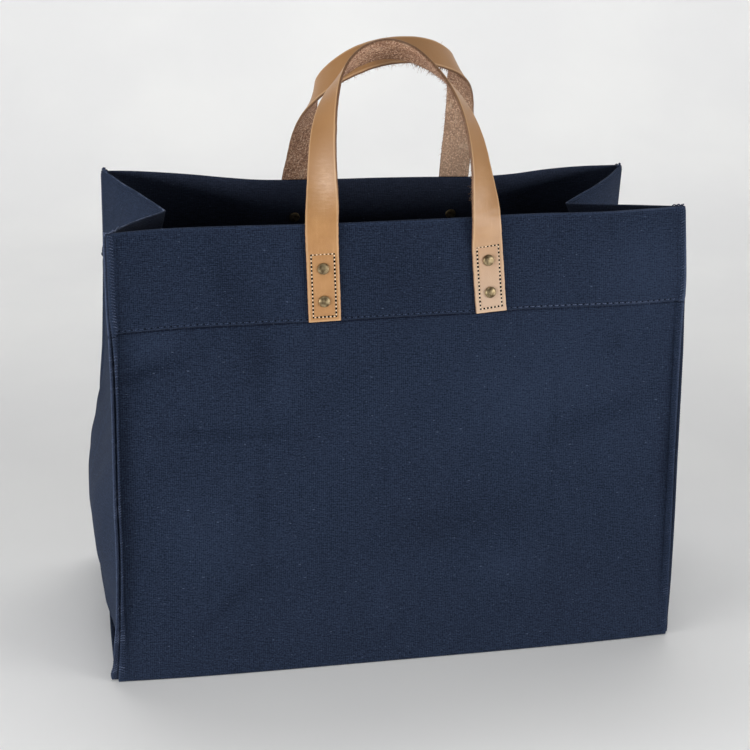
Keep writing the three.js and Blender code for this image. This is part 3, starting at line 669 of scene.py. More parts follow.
def brassMaterial():  # aged satin brass: brown film in soft patches over fine scratches
    material, surface, place = newMaterial("aged brass", {"Metallic": 1.0})
    spot = place.node("ShaderNodeTexCoord", None, None, 3)
    film = spot.noise(300, 3)
    scratch = spot.scaled(2600, 2600, 300).noise(1.0, 2)
    color = film.between(0.35, 0.7).blend(tint(166, 149, 116), tint(98, 82, 60))
    color = (scratch.between(0.55, 0.8) * 0.3).blend(color, tint(204, 190, 156))
    feed(surface, color=color, rough=0.4 + film * 0.25, normal=(scratch + film).bump(0.25, 0.00006))
    return material


def holeShadeMaterial(name, dark, pale):  # needle holes and pits: dark discs of painted shade, a little uneven
    material, surface, place = newMaterial(name, {"Roughness": 0.9, "Specular IOR Level": 0.1})
    feed(surface, color=place.noise(900, 2).blend(dark, pale))
    return material


navyCanvas = canvasMaterial()
navyThread = threadMaterial("navy thread", tint(22, 31, 49), tint(60, 73, 99))
hemThread = threadMaterial("navy hem thread", tint(22, 31, 49), tint(64, 78, 105))
# A darker copy of the navy thread: painted shade for the right-hand overlock.
shadedNavyThread = threadMaterial("navy thread in painted shade", tint(18, 26, 43), tint(47, 59, 82))
seamThread = threadMaterial("navy seam thread", tint(14, 22, 38), tint(34, 46, 69))
paleThread = threadMaterial("pale thread", tint(226, 200, 166), tint(255, 244, 224), 0.0007)
tanLeather = leatherMaterial()
agedBrass = brassMaterial()
# Needle holes in the leather and pits in the cloth are dark discs: painted shade inside the holes.
needleHoleShade = holeShadeMaterial("needle hole shade", tint(8, 5, 3), tint(22, 14, 9))
clothPitShade = holeShadeMaterial("needle pit shade in cloth", tint(6, 9, 17), tint(14, 20, 34))
print("materials made")

# Canvas body: one long cloth down the back, under the base and up the front.
body = {
    "edgeSteps": [0, 0.8, 2, 3.4, 4.6, 5.6, 6.4, 7.4, 9, 11, 13.5, 17, 21, 26], "edgeWide": 30,
    "columnStep": 4.4, "footSteps": [4.5, 7, 10, 14, 19], "rowStep": 5.0, "baseRows": 26,
    "foldGirths": [1.02, 1.04, 1.06, 1.08],
    "hemSteps": [-16, -12, -9, -6.5, -4.5, -3, -1.8, -1, -0.5, -0.15, 0, 0.04, 0.12, 0.25, 0.45, 0.7, 1,
                 1.5, 2, 2.5, 3, 3.5, 4.2, 5, 6.2, 8, 10.5, 13],
    "rimSteps": [350, 354, 357, 359, 360.5, 361.4, rim], "flat": (0.462, 1.10), "tone": 0.85, "pucker": 0.09,
    "puckerPitch": 9,
}
edgeColumns = np.array(body["edgeSteps"]) / bag["wide"]
midCount = round((bag["wide"] - 2 * body["edgeWide"]) / body["columnStep"])
midColumns = np.linspace(body["edgeWide"] / bag["wide"], 1 - body["edgeWide"] / bag["wide"], midCount)
bodyColumns = np.concatenate([edgeColumns, midColumns, 1 - edgeColumns[::-1]])
panelHeights = np.concatenate([
    [foldTop], body["footSteps"], np.arange(24, hemLine - 18, body["rowStep"]),
    hemLine + np.array(body["hemSteps"]), np.arange(hemLine + 17, 348, body["rowStep"]), body["rimSteps"],
])
panelShares = (panelHeights - foldTop) / (rim - foldTop)
foldGirths = np.array(body["foldGirths"])
baseGirths = np.linspace(1 + bag["foldGirth"], 2 - bag["foldGirth"], body["baseRows"])
girths = [1 - panelShares[::-1], foldGirths, baseGirths, 3 - foldGirths[::-1], 2 + panelShares]
girths = np.concatenate(girths)[:, None]
bodyMid = bodyPoint(bodyColumns, girths)
heights = wallHeight(girths)
onWall = (girths <= 1) | (girths >= 2)
columnX = bodyColumns * bag["wide"]
edgeNear = np.minimum(bodyColumns, 1 - bodyColumns) * bag["wide"]
pucker = body["pucker"] * np.sin(columnX * fullTurn / body["puckerPitch"]) * bell(heights - hemLine, 4, 4)
bodyOuter = np.where(onWall, hemOffset(heights) + pucker, cloth / 2)
# Paler at the raw edges, along the hem's fold edge and at the rim; at the rim this is a painted highlight on
# the fold as well as wear.
bodyWearAndShading = bell(edgeNear, 0, 2.2) + bell(heights, rim, 1.6) + 0.6 * bell(heights - hemLine, 1.2, 0.6)
# The painted shadow under the hem is weaker on the back, weaker towards the right and uneven along the hem.
hemShadowFade = np.where(girths > 1.5, 1, 0.8) * (1 - 0.6 * ease(0.6, 0.92, bodyColumns))
hemShadowFade = hemShadowFade * (0.8 + 0.3 * ripple(columnX, columnX * 0, 33, 6, 60))
# Painted fold shading: the panels' tones darken and lighten the cloth's colour.
paintedFoldShade = np.where(girths > 1.5, *(bells(panelShading[side], bodyMid[..., 0], heights) for side in sides))
# The painted hem shadow and the painted fold shading are added to the cloth's marks.
bodyWearAndShading = np.clip(bodyWearAndShading, 0, 1) + hemShadowPaint(heights) * hemShadowFade + body["tone"] * paintedFoldShade * onWall
bodyPart = clothShell(bodyMid, bodyOuter, bodyWearAndShading)
canvasBody = makePiece("canvas_body_cloth", bodyPart, navyCanvas, ["canvas_body"])
print("canvas body:", len(bodyPart["quads"]), "faces")

# Gussets: a wall folded in at the mouth, with a strip turned out along the base.
gusset = {
    "halfPlaces": 34, "stripPlaces": [1.012, 1.03, 1.05, 1.07, 1.085, 1.1], "flat": (0.238, 0.437),
    "rimThin": 0.45, "rawEdgeWearAndHighlight": 1.35, "creaseWear": 0.5, "rimHighlight": {"left": 1.6, "right": 1.05},
    "footHalf": 0.965, "footOut": 1.8, "footLift": 0.8,
}
half = np.linspace(0, 1, gusset["halfPlaces"])
half = np.concatenate([half[:-1], [0.985, 1.0], gusset["stripPlaces"]])
gussetPlaces = np.concatenate([-half[:0:-1], half])
gussetFoot = cloth * 1.5 + layGap
gussetHeights = np.concatenate([[gussetFoot], panelHeights[1:]])[:, None]


def gussetPart(hand):
    sign, distance = outX[hand], np.abs(gussetPlaces)
    mid = gussetPoint(hand, -sign * gussetPlaces, gussetHeights)
    stripOuter = cloth * (0.5 + ease(hemLine - 25, hemLine + 20, gussetHeights)) - rimThin(gussetHeights)
    outer = mix(hemOffset(gussetHeights), stripOuter, ease(0.985, 1.03, distance))
    outer = outer - gusset["rimThin"] * ease(357, rim, gussetHeights)  # pressed thinner than the hem below it
    # The strip's raw edge is paler: worn fraying together with a painted highlight where the edge catches
    # light from the side.
    wearAndShading = gusset["rawEdgeWearAndHighlight"] * bell(distance, 1 + bag["stripPlaces"], 0.012)
    wearAndShading = wearAndShading + gusset["creaseWear"] * bell(gussetPlaces, 0, 0.03) + hemShadowPaint(gussetHeights)
    onFront = ease(-0.3, 0.3, -sign * gussetPlaces)
    fleck = 0.9 + 0.3 * ripple(gussetPlaces * bag["gussetHalf"], gussetPlaces * 0, 35, 5, 40)
    fleck = fleck * (0.72 + 0.28 * onFront)
    wearAndShading = wearAndShading + gusset["rimHighlight"][hand] * fleck * bell(gussetHeights, rim, 0.5)  # the rim's fold edge is painted pale: a painted highlight where it catches light
    footPlaces = np.linspace(-gusset["footHalf"], gusset["footHalf"], 60)[:, None]
    footShares = np.linspace(0, 1, 8)[None, :]
    wallFoot = gussetPoint(hand, footPlaces, gussetFoot)
    edge = bodyPoint(edgeShare[hand], 1.5 + footPlaces * 0.38)
    footX = mix(wallFoot[..., 0] - sign, edge[..., 0] + sign * gusset["footOut"], footShares)
    lift = gusset["footLift"] * footShares ** 2 * (1 + 0.5 * np.sin(footPlaces * 40))
    foot = bundle(footX, wallFoot[..., 1], gussetFoot + lift)
    foot = foot if hand == "left" else foot[::-1]
    footWear = np.broadcast_to(footShares ** 4, footX.shape)
    return joined([clothShell(mid, outer, wearAndShading), clothShell(foot, np.full(footX.shape, cloth / 2), footWear)])


for hand in hands:
    piece = makePiece(hand + "_gusset_cloth", gussetPart(hand), navyCanvas, [hand + "_gusset"])
print("gussets made")

# Sewing on the canvas: overlocked raw edges, seam lines and the hem line.
sewing = {
    "overPitch": 2.2, "overWide": 3.8, "overRadius": {"left": 0.38, "right": 0.3}, "overSides": 5,
    # The left overlock is paler and the right one darker: painted light and painted shade on the seam strips.
    "overRubbedAndLit": {"left": 1.1, "right": 0.35}, "overThread": {"left": navyThread, "right": shadedNavyThread},
    "turnPoints": 12, "seamIn": 7.2, "seam": {"pitch": 3.4, "gap": 0.9, "radius": 0.26, "bow": 0.3},
    "hemUp": 1.9, "hem": {"pitch": 4.9, "gap": 1.4, "radius": 0.4, "bow": 0.4},
    "hemRubbedAndLit": {"front": 1.1, "back": 0.6}, "lineStart": 1.0, "pitRadius": 0.72, "pitLift": 0.03,
    "pitSides": 12,
}


def overlock(edge, facing, away, middle, halfThick, radius, rubbed):
    # Thread wound round a raw edge: edge + away x (swing x sin) + facing x (middle + half thickness x
    # squared-off cos), with each turn slanted along the edge.
    run, pitch, reach = runAlong(edge), sewing["overPitch"], sewing["overWide"] / 2
    at = np.linspace(0, run[-1], int(run[-1] / pitch * sewing["turnPoints"]))
    path, facing, away, middle, halfThick = (
        readAlong(run, values, at) for values in (edge, facing, away, middle, halfThick)
    )
    facing, away = unitVector(facing), unitVector(away)
    turn = (at * fullTurn / pitch + 0.9 * ripple(at, at * 0.37, 31, 9, 60))[:, None]
    rise = np.sign(np.cos(turn)) * np.abs(np.cos(turn)) ** 0.45
    swing = -reach + (reach + 0.4) * np.sin(turn)
    out = middle + (halfThick + 0.16) * rise
    slant = 0.4 * pitch * np.sin(turn) * rise
    path = path + away * swing + facing * out + np.gradient(path, at, axis=0) * slant
    part = threadTubes(path[None], (facing + away * 0.3)[None], radius, sewing["overSides"])
    flecks = ease(0.1, 0.9, ripple(at, at * 0.21, 34, 1.7, 30))
    onHem = ease(hemLine - 20, hemLine + 12, path[:, 2]) * (0.35 + 0.8 * flecks)
    paler = np.maximum(onHem, rubbed * flecks)
    part["marks"]["rubbed"] = np.concatenate([np.repeat(paler, sewing["overSides"]), paler[[0, -1]]])
    return part


def dishes(holes, across, outward, radius, lift):
    # Shallow round pits: middle, a ring at 0.6 of the radius, a ring at the radius, a closing point below.
    around = sewing["pitSides"]
    angle = np.linspace(0, fullTurn, around, endpoint=False)[None, :, None]
    holes, across, outward = holes[:, None], across[:, None], outward[:, None]
    spokes = np.cos(angle) * across + np.sin(angle) * unitVector(np.cross(outward, across))
    points = np.concatenate([
        holes + outward * (lift + 0.1), holes + spokes * radius * 0.6 + outward * (lift + 0.12),
        holes + spokes * radius + outward * lift, holes + outward * (lift - 0.25),
    ], axis=1)
    middle = np.arange(len(holes))[:, None] * points.shape[1]
    inner = middle + 1 + np.arange(around)
    outer, under = inner + around, middle + 1 + 2 * around
    innerNext, outerNext = np.roll(inner, -1, 1), np.roll(outer, -1, 1)
    quads = np.concatenate([
        bundle(inner, innerNext, middle, middle), bundle(outer, outerNext, innerNext, inner),
        bundle(outerNext, outer, under, under),
    ])
    points = points.reshape(-1, 3)
    return {"points": points, "quads": quads.reshape(-1, 4), "flat": points[:, [0, 2]], "marks": {}}


def sewnLine(points, facing, stitch):  # stitches along a line: equal steps of its length, each with a gap
    run = runAlong(points)
    first = np.arange(sewing["lineStart"], run[-1] - stitch["pitch"], stitch["pitch"])
    starts, ends = (readAlong(run, points, at) for at in (first, first + stitch["pitch"] - stitch["gap"]))
    facing = unitVector(readAlong(run, facing, first))
    return stitchTubes(starts, ends, facing, stitch["radius"], stitch["bow"])


def linePits(points, facing, stitch):  # a pit in each gap between the stitches of a line
    run = runAlong(points)
    at = np.arange(sewing["lineStart"], run[-1] - stitch["pitch"], stitch["pitch"]) - stitch["gap"] / 2
    facing = unitVector(readAlong(run, facing, at))
    along = squareTo(facing, readAlong(run, np.gradient(points, axis=0), at))
    return dishes(readAlong(run, points, at), along, facing, sewing["pitRadius"], sewing["pitLift"])


def hemSewing(line, facing, rubbed):  # stitches and their needle pits; the right-hand third is paler: worn thread with a painted highlight
    stitches = sewnLine(line, facing, sewing["hem"])
    x = stitches["points"][:, 0]
    stitches["marks"]["rubbed"] = rubbed * (0.1 + 0.9 * ease(80, 105, x) - 0.55 * ease(165, 200, x))
    return stitches, linePits(line, facing, sewing["hem"])


def rimTail(hand, side, reach, sway, radius, rubbed, seed):
    # Loose end of the overlock thread: along the gusset's rim from one corner, swayed by ripples.
    shares = np.linspace(0, 1, 70)
    places = (1 + bag["stripPlaces"] - reach * shares) * -outY[side]
    sways = [ripple(shares * 20, shares * 3, seed + axis, 2.2, 9) for axis in range(3)]
    path = gussetPoint(hand, places, rim) + np.array([0, 0, 1.2]) + sway * bundle(*sways)
    part = threadTubes(path[None], np.array([0.1, 0.3, 1.0]), radius * (1 - 0.5 * shares[None] ** 3))
    part["marks"]["rubbed"] = np.full(len(part["points"]), rubbed)
    return part


seamHeights = np.linspace(foldTop + 1, rim - 0.3, 400)
seamOut, rawShare = hemOffset(seamHeights), np.zeros_like(seamHeights)
for side in sides:
    for hand in hands:
        edge, inwards = edgeShare[hand], -outX[hand]
        facing = panelOutward(side, edge + inwards * 0.003, seamHeights)
        rawEdge = panelPoint(side, edge, seamHeights)
        away = unitVector(rawEdge - panelPoint(side, edge + inwards * 0.008, seamHeights))
        gussetEdge = stripPoint(hand, side, rawShare, seamHeights)
        gussetAway = unitVector(gussetEdge - stripPoint(hand, side, rawShare + 0.4, seamHeights))
        gussetFacing = unitVector(np.cross(np.gradient(gussetEdge, axis=0), gussetAway))
        gussetFacing = gussetFacing * -np.sign((gussetFacing * facing).sum(-1, keepdims=True))
        wound = [
            overlock(*lines, (seamOut - cloth / 2) / 2, (seamOut + cloth / 2) / 2, sewing["overRadius"][hand],
                     sewing["overRubbedAndLit"][hand])
            for lines in ((rawEdge, facing, away), (gussetEdge, gussetFacing, gussetAway))
        ]
        name = side + "_" + hand
        makePiece(name + "_overlock", joined(wound), sewing["overThread"][hand])
        inside = edge + inwards * sewing["seamIn"] / bag["wide"]
        seamFacing = panelOutward(side, inside, seamHeights)
        seamLine = panelPoint(side, inside, seamHeights) + seamFacing * seamOut[:, None]
        stitches = sewnLine(seamLine, seamFacing, sewing["seam"])
        makePiece(name + "_seam_stitches", stitches, seamThread)
tails = [
    rimTail("left", "front", 0.3, 0.9, 0.5, 1.4, 61), rimTail("left", "back", 0.15, 0.9, 0.75, 0.1, 66),
    rimTail("right", "front", 0.14, 0.7, 0.7, 0.0, 71), rimTail("right", "back", 0.16, 0.7, 0.75, 0.0, 76),
]
makePiece("overlock_thread_ends", joined(tails), navyThread)
hemHeight = hemLine + sewing["hemUp"]
hemOut = hemOffset(hemHeight)
hemParts = []
for side in sides:
    shares = np.linspace(0.012, 0.988, 300)
    facing = panelOutward(side, shares, hemHeight)
    line = panelPoint(side, shares, hemHeight) + facing * hemOut
    hemParts.append(hemSewing(line, facing, sewing["hemRubbedAndLit"][side]))
for hand in hands:
    places = np.linspace(-0.97, 0.97, 200)
    line = gussetPoint(hand, places, hemHeight)
    rise = gussetPoint(hand, places, hemHeight + 1) - line
    facing = unitVector(np.cross(np.gradient(line, axis=0), rise)) * outX[hand]
    hemParts.append(hemSewing(line + facing * hemOut, facing, 0))
hemLines, hemPits = zip(*hemParts)
makePiece("hem_needle_pit_shade", joined(hemPits), clothPitShade)
makePiece("hem_stitches", joined(hemLines), hemThread)
print("sewing made")

# Handles: a flat strap sewn and riveted at both ends, rising over an arch.
strap = {
    "wide": 25.0, "thick": 2.4, "gap": 0.45, "rise": 2.0, "tabLift": 0.5, "rowsPerSpan": 9, "rowLength": 2.2,
    "stitchTop": 339.0, "stitchFoot": 291.0, "stitchHalf": 8.8, "sideStitches": 16, "endStitches": 6,
    "threadRadius": 0.46, "threadBow": 0.42, "holeRadius": 1.15, "sewnGroove": 0.26, "rivetGroove": 0.35,
    "bendReach": 13.0, "wave": 0.16, "sway": 0.14, "endCut": {"front": -0.06, "back": 0.0},
    # Stations from the right-hand end over which the strap is painted paler: a painted highlight.
    "highlightSpan": {"front": (11, 0), "back": (16, 9)},
}
strapOut = cloth * 1.5 + strap["gap"] + strap["thick"] / 2
strapTop = rim + strap["rise"]
rivetHeights = {"upper": 328.0, "lower": 303.0}
strapEnds = {  # middle x at the hem line and at the rim, lift in degrees at the rim
    "front": {"left": (-60.2, -62.1, 8), "right": (69.9, 64.4, 13)},
    "back": {"left": (-59.7, -59.3, 8), "right": (72.6, 73.2, 8)},
}
# Free part of each strap, from left leg to right leg: middle x, y, z, and direction across x, y, z.
strapRows = {
    "front": [
        (-61.2, -85, 372.6, 0.974, -0.222, 0.045), (-60.6, -79.7, 390.7, 0.818, -0.559, 0.138),
        (-59.7, -74, 408.7, 0.737, -0.654, 0.172), (-57.8, -67.3, 426.1, 0.646, -0.733, 0.213),
        (-53.9, -59.2, 442.7, 0.488, -0.822, 0.295), (-47, -50, 457.6, 0.257, -0.865, 0.43),
        (-36.1, -40.9, 469.8, 0.047, -0.815, 0.577), (-20.9, -34.2, 478.5, -0.039, -0.746, 0.665),
        (-2.7, -31.9, 482.1, -0.042, -0.746, 0.664), (15, -36.2, 478.4, -0.091, -0.815, 0.572),
        (29.6, -43.9, 469.4, -0.223, -0.883, 0.413), (41.5, -52.3, 457.5, -0.345, -0.891, 0.295),
        (50.6, -60.4, 443.2, -0.464, -0.862, 0.203), (56.9, -67.5, 426.9, -0.584, -0.801, 0.131),
        (60.7, -73.1, 409.4, -0.685, -0.724, 0.084), (63, -77.4, 391.2, -0.761, -0.647, 0.056),
        (65.2, -80.9, 372.7, -0.925, -0.379, 0.015),
    ],
    "back": [
        (-58.5, 64.7, 371.1, 0.976, 0.213, 0.046), (-57.7, 57.1, 389.9, 0.886, 0.45, 0.115),
        (-56.1, 47.7, 408.3, 0.796, 0.578, 0.182), (-53.1, 36.6, 425.7, 0.594, 0.741, 0.313),
        (-49.8, 24.5, 441.7, 0.13, 0.842, 0.488), (-39.5, 12.2, 455.3, -0.01, 0.787, 0.606),
        (-25.3, 2.4, 466.4, -0.053, 0.723, 0.689), (-8.1, -3.5, 474, -0.065, 0.713, 0.698),
        (11.3, -4.9, 477.2, -0.055, 0.72, 0.69), (30.7, -2, 475.9, -0.05, 0.69, 0.722),
        (48.6, 5.7, 470.3, -0.07, 0.73, 0.676), (63.4, 17, 460.5, -0.145, 0.83, 0.505),
        (68.7, 28.1, 446.2, -0.606, 0.743, 0.285), (72.3, 37.3, 429.1, -0.763, 0.621, 0.183),
        (73.5, 44.5, 410.5, -0.82, 0.551, 0.153), (73.8, 50.4, 391.3, -0.851, 0.506, 0.14),
        (74, 56.7, 372.2, -0.971, 0.232, 0.06),
    ],
}
tabHeights = np.array([hemLine + strap["tabLift"], 295, 303, 311, 320, 328, 337, 346, 355, strapTop])
# Short curled hairs on the flesh side, in two sorts; the span is in shares of the strap's length.
fibreSorts = [
    {"count": 560, "span": (0.43, 0.72), "longest": 2.8, "thick": 0.11, "pale": 0.6,
     "seeds": {"front": 51, "back": 52}},
    {"count": 170, "span": (0.53, 0.6), "longest": 3.4, "thick": 0.2, "pale": 0.0,
     "seeds": {"front": 53, "back": 54}},
]


def tabAcross(side, hand, height):  # place across the panel of the middle of a sewn strap end
    footX, rimX, _ = strapEnds[side][hand]
    leftX, rightX = (panelPoint(side, edge, height)[..., 0] for edge in (0, 1))
    return (mix(footX, rimX, (height - hemLine) / bag["hemDeep"]) - leftX) / (rightX - leftX)


def tabFrame(side, hand, height):  # middle of a sewn strap end, direction across, way out
    across = tabAcross(side, hand, height)
    seat, outward = panelPoint(side, across, height), panelOutward(side, across, height)
    step = panelPoint(side, across + 0.01, height) - panelPoint(side, across - 0.01, height)
    along = unitVector(panelPoint(side, tabAcross(side, hand, height + 1), height + 1) - seat)
    lift = math.radians(strapEnds[side][hand][2])
    turn = (lift * ease(strap["stitchTop"], strapTop, height))[..., None]
    direction = squareTo(along, step) * -outX[hand] * np.cos(turn) + outward * np.sin(turn)
    return seat + outward * (strapOut + np.sin(turn) * strap["wide"] / 2), direction, outward


def smoothLine(points, steps):  # cubic spans with slopes half the chord between the neighbours
    padded = np.concatenate([[2 * points[0] - points[1]], points, [2 * points[-1] - points[-2]]])
    first, low, high, last = (padded[shift:len(padded) - 3 + shift, None] for shift in range(4))
    line = cubic((np.arange(steps) / steps)[None, :, None], low, high, (high - first) / 2, (last - low) / 2)
    return np.concatenate([line.reshape(-1, 3), points[-1:]])


def softened(line, share):  # line blended with its own running average, weighted by a bell curve
    run = runAlong(line)
    weight = bell(run[:, None], run[None, :], strap["bendReach"]) * np.gradient(run)[None, :]
    return mix(line, weight @ line / weight.sum(axis=1, keepdims=True), share[:, None])


# Profile of the strap, round from the middle of the grain face: across, out, and the marks of each point.
topHalf = np.array([0, 1.8, 3.4, 4.8, 6, 7, 7.7, 8.2, 8.5, 8.8, 9.1, 9.4, 9.9, 10.6, 11.2, 11.75])
topAcross = np.concatenate([-topHalf[:0:-1], topHalf])
lowAcross = np.array([11.7, 10.5, 8, 5, 2, -1, -4, -7, -10, -11.7])
sideAcross = np.array([12.2, 12.44, 12.5, 12.46, 12.2])


def profile(top, side, low):  # top face, one edge, underside, and the other edge as the first one backwards
    top, low = np.broadcast_to(top, len(topAcross)), np.broadcast_to(low, len(lowAcross))
    return np.concatenate([top, side, low, side[::-1]])


ringAcross = np.concatenate([topAcross, sideAcross, lowAcross, -sideAcross[::-1]])
ringOut = profile(strap["thick"] / 2, [1.05, 0.7, 0, -0.75, -1.12], -strap["thick"] / 2)
ringFlesh = profile(0, [0, 0, 0.4, 0.8, 1], 1)
ringEdge = profile(0, [0.25, 0.85, 1, 0.9, 0.4], 0)
# Pale band along the edges of the grain face: a painted highlight on the rounded edge.
ringBevelHighlight = profile(np.abs(topAcross) > 11, [0.6, 0, 0, 0, 0], 0)


def strapPart(side):
    # A rounded flat profile carried along the strap: middle + across x width line + out x normal, sunk at
    # the sewing and round the rivets by soft grooves. Stations count table rows from the left end.
    ends = [tabFrame(side, hand, tabHeights) for hand in hands]
    rows = np.array(strapRows[side], float)
    centres = np.concatenate([ends[0][0], rows[:, :3], ends[1][0][::-1]])
    directions = np.concatenate([ends[0][1], unitVector(rows[:, 3:]), ends[1][1][::-1]])
    last, steps = len(centres) - 1, strap["rowsPerSpan"]
    station = np.arange(last * steps + 1) / steps
    fromEnd = np.minimum(station, last - station)
    soft = ease(6.2, 8, fromEnd) * (1 - ease(12, 15, fromEnd))
    reach = directions * strap["wide"] / 2
    edges = (centres - reach, centres + reach)
    outerEdge, innerEdge = (softened(smoothLine(edge, steps), soft) for edge in edges)
    centre, width = (outerEdge + innerEdge) / 2, unitVector(innerEdge - outerEdge)
    along = np.gradient(centre, axis=0)
    normal = unitVector(np.cross(width, along)) * -outY[side]
    over, up = np.abs(ringAcross), np.interp(fromEnd, np.arange(len(tabHeights)), tabHeights)[:, None]
    onTab = (fromEnd < len(tabHeights) - 1)[:, None]
    foot, top, half = strap["stitchFoot"], strap["stitchTop"], strap["stitchHalf"]
    toSides = np.hypot(over - half, np.maximum(np.maximum(foot - up, up - top), 0))
    toEnds = np.hypot(np.minimum(np.abs(up - foot), np.abs(up - top)), np.maximum(over - half, 0))
    groove = strap["sewnGroove"] * bell(np.minimum(toSides, toEnds), 0, 0.8)
    for level in rivetHeights.values():
        groove = groove + strap["rivetGroove"] * bell(np.hypot(over, up - level), 0, 6, 4)
    length = np.arange(len(centre))[:, None] * strap["rowLength"]
    wave = strap["wave"] * ripple(length, ringAcross * 1.3, 41, 12, 60)
    out = ringOut + np.where(ringOut > 1, wave * 0.6 - groove * onTab, np.where(ringOut < -1, wave, 0))
    sway = strap["sway"] * ripple(length, length * 0, 42, 7, 50)
    across = ringAcross + sway * np.sign(ringAcross) * (over > 11)
    cut = strap["endCut"][side] * across * (1 - ease(0, 1.5, last - station))[:, None]
    points = centre[:, None] + width[:, None] * across[..., None] + normal[:, None] * out[..., None]
    points = points + unitVector(along)[:, None] * cut[..., None]
    shape = points.shape[:2]
    quads = tubeFaces(1, *shape)
    around = runAlong(bundle(ringAcross, ringOut))
    flat = bundle(around[None, :], runAlong(centre)[:, None]).reshape(-1, 2)
    tip = (fromEnd < 0.12)[:, None] * (ringOut > 1)
    # Where the left leg bends over the rim: a painted highlight and creases, a quarter as strong on the right
    # leg.
    bend = bell(fromEnd, 10.9, 1.1) * np.where(station < last / 2, 1, 0.25)
    values = {
        "flesh": ringFlesh, "edge": ringEdge, "bevelHighlightAndPaleHair": np.maximum(ringBevelHighlight, tip),
        "paleEndHighlight": ease(*strap["highlightSpan"][side], last - station)[:, None],
        # The strap's colour is darker over the arch.
        "darkerArch": ease(9, 12.5, fromEnd)[:, None], "bendCreasesAndHighlight": bend[:, None] * bell(ringAcross, 2, 8),
    }
    values = {name: np.broadcast_to(values[name], shape) for name in leatherMarks}
    marks = {name: np.append(values[name], [name == "edge"] * 2) for name in leatherMarks}
    return {
        "points": np.concatenate([points.reshape(-1, 3), centre[[0, -1]]]),
        "quads": quads if side == "front" else quads[:, [1, 0, 3, 2]],
        "flat": np.concatenate([flat, flat[[0, -1]]]), "marks": marks,
    }, outerEdge, innerEdge, normal


def tabSewing(side, hand):  # needle holes in a box on each strap end, and a thread from each hole to the next
    foot, top, half = strap["stitchFoot"], strap["stitchTop"], strap["stitchHalf"]
    tall, short = strap["sideStitches"], strap["endStitches"]
    sideUps, endAcross = np.linspace(foot, top, tall + 1), np.linspace(-half, half, short + 1)
    ups = np.concatenate([sideUps[:-1], np.full(short, top), sideUps[:0:-1], np.full(short, foot)])
    over = np.concatenate([np.full(tall, -half), endAcross[:-1], np.full(tall, half), endAcross[:0:-1]])
    centre, direction, outward = tabFrame(side, hand, ups)
    holes = centre + direction * over[:, None] + outward * (strap["thick"] / 2 - 0.2)
    starts, ends = (mix(holes, np.roll(holes, -1, 0), share) for share in (0.3, 0.7))
    threads = stitchTubes(starts, ends, outward, strap["threadRadius"], strap["threadBow"])
    return threads, dishes(holes, direction, outward, strap["holeRadius"], 0.0)


def edgeFibres(side, outerEdge, innerEdge, normal, sort):  # hairs that stand from the edges of the flesh side
    chance = np.random.default_rng(sort["seeds"][side])
    count, longest = sort["count"], sort["longest"]
    row = (chance.uniform(*sort["span"], count) * len(outerEdge)).astype(int)
    onOuter = (chance.random(count) < 0.6)[:, None]
    start = np.where(onOuter, outerEdge[row], innerEdge[row]) - normal[row]
    width = unitVector(innerEdge - outerEdge)[row] * np.where(onOuter, -1, 1)
    along = unitVector(np.gradient(outerEdge, axis=0))[row]
    lean = width * chance.uniform(0.1, 1, (count, 1)) - normal[row] * chance.uniform(0.3, 1, (count, 1))
    lean = unitVector(lean + along * chance.normal(0, 0.8, (count, 1)))[:, None]
    curl = chance.normal(0, 0.5, (count, 1, 3))
    share = np.linspace(0, 1, 5)[None, :, None]
    length = chance.uniform(0.2 * longest, longest, (count, 1, 1))
    paths = (start - width * 0.2)[:, None] + lean * share * length + curl * share ** 2 * length
    hairs = threadTubes(paths, np.array([0.3, 0.5, 0.8]), sort["thick"] * (1 - 0.7 * share[..., 0]), 3)
    none = np.zeros(len(hairs["points"]))
    hairs["marks"] = {name: none for name in leatherMarks} | {"flesh": none + 1, "bevelHighlightAndPaleHair": none + sort["pale"]}
    return hairs


for side in sides:
    part, *edgesAndNormal = strapPart(side)
    makePiece(side + "_handle_strap", part, tanLeather, [side + "_handle"])
    threads, holes = zip(*(tabSewing(side, hand) for hand in hands))
    makePiece(side + "_handle_stitches", joined(threads), paleThread)
    makePiece(side + "_needle_hole_shade", joined(holes), needleHoleShade)
    fibres = [edgeFibres(side, *edgesAndNormal, sort) for sort in fibreSorts]
    makePiece(side + "_handle_fibres", joined(fibres), tanLeather)
print("handles made")

# Rivets: a low domed cap outside, a flat cap inside, joined by a post; turned about the way out of the panel.
# The caps are rows of radius and height above the back seat and the front seat.
rivet = {
    "backCap": [(0.6, -1), (2.2, -1), (3.5, -0.95), (4.2, -0.75), (4.5, -0.4), (4.5, 0), (1.3, 0)],
    "frontCap": [(1.3, -0.3), (4.2, -0.3), (4.45, 0.05)], "domeHalf": 4.4, "domeFoot": 0.4, "domeRise": 1.7,
    "around": 48,
}
rivetSeat = strapOut + strap["thick"] / 2 + layGap * 0.2
rivetBack = -cloth / 2 - layGap
domeTurn = np.linspace(0, 1.46, 10)
domeRadius = 0.01 + rivet["domeHalf"] * np.cos(domeTurn) ** 0.85
domeOut = rivet["domeFoot"] + rivet["domeRise"] * np.sin(domeTurn)
frontCap = np.concatenate([rivet["frontCap"], bundle(domeRadius, domeOut)])
rivetProfile = np.concatenate([np.array(rivet["backCap"]) + [0, rivetBack], frontCap + [0, rivetSeat]])
rivetTips = np.array([[rivetProfile[0, 1]], [rivetSeat + rivet["domeFoot"] + rivet["domeRise"]]])
rivetQuads = tubeFaces(1, len(rivetProfile), rivet["around"])
angle = (np.arange(rivet["around"]) * fullTurn / rivet["around"])[:, None]
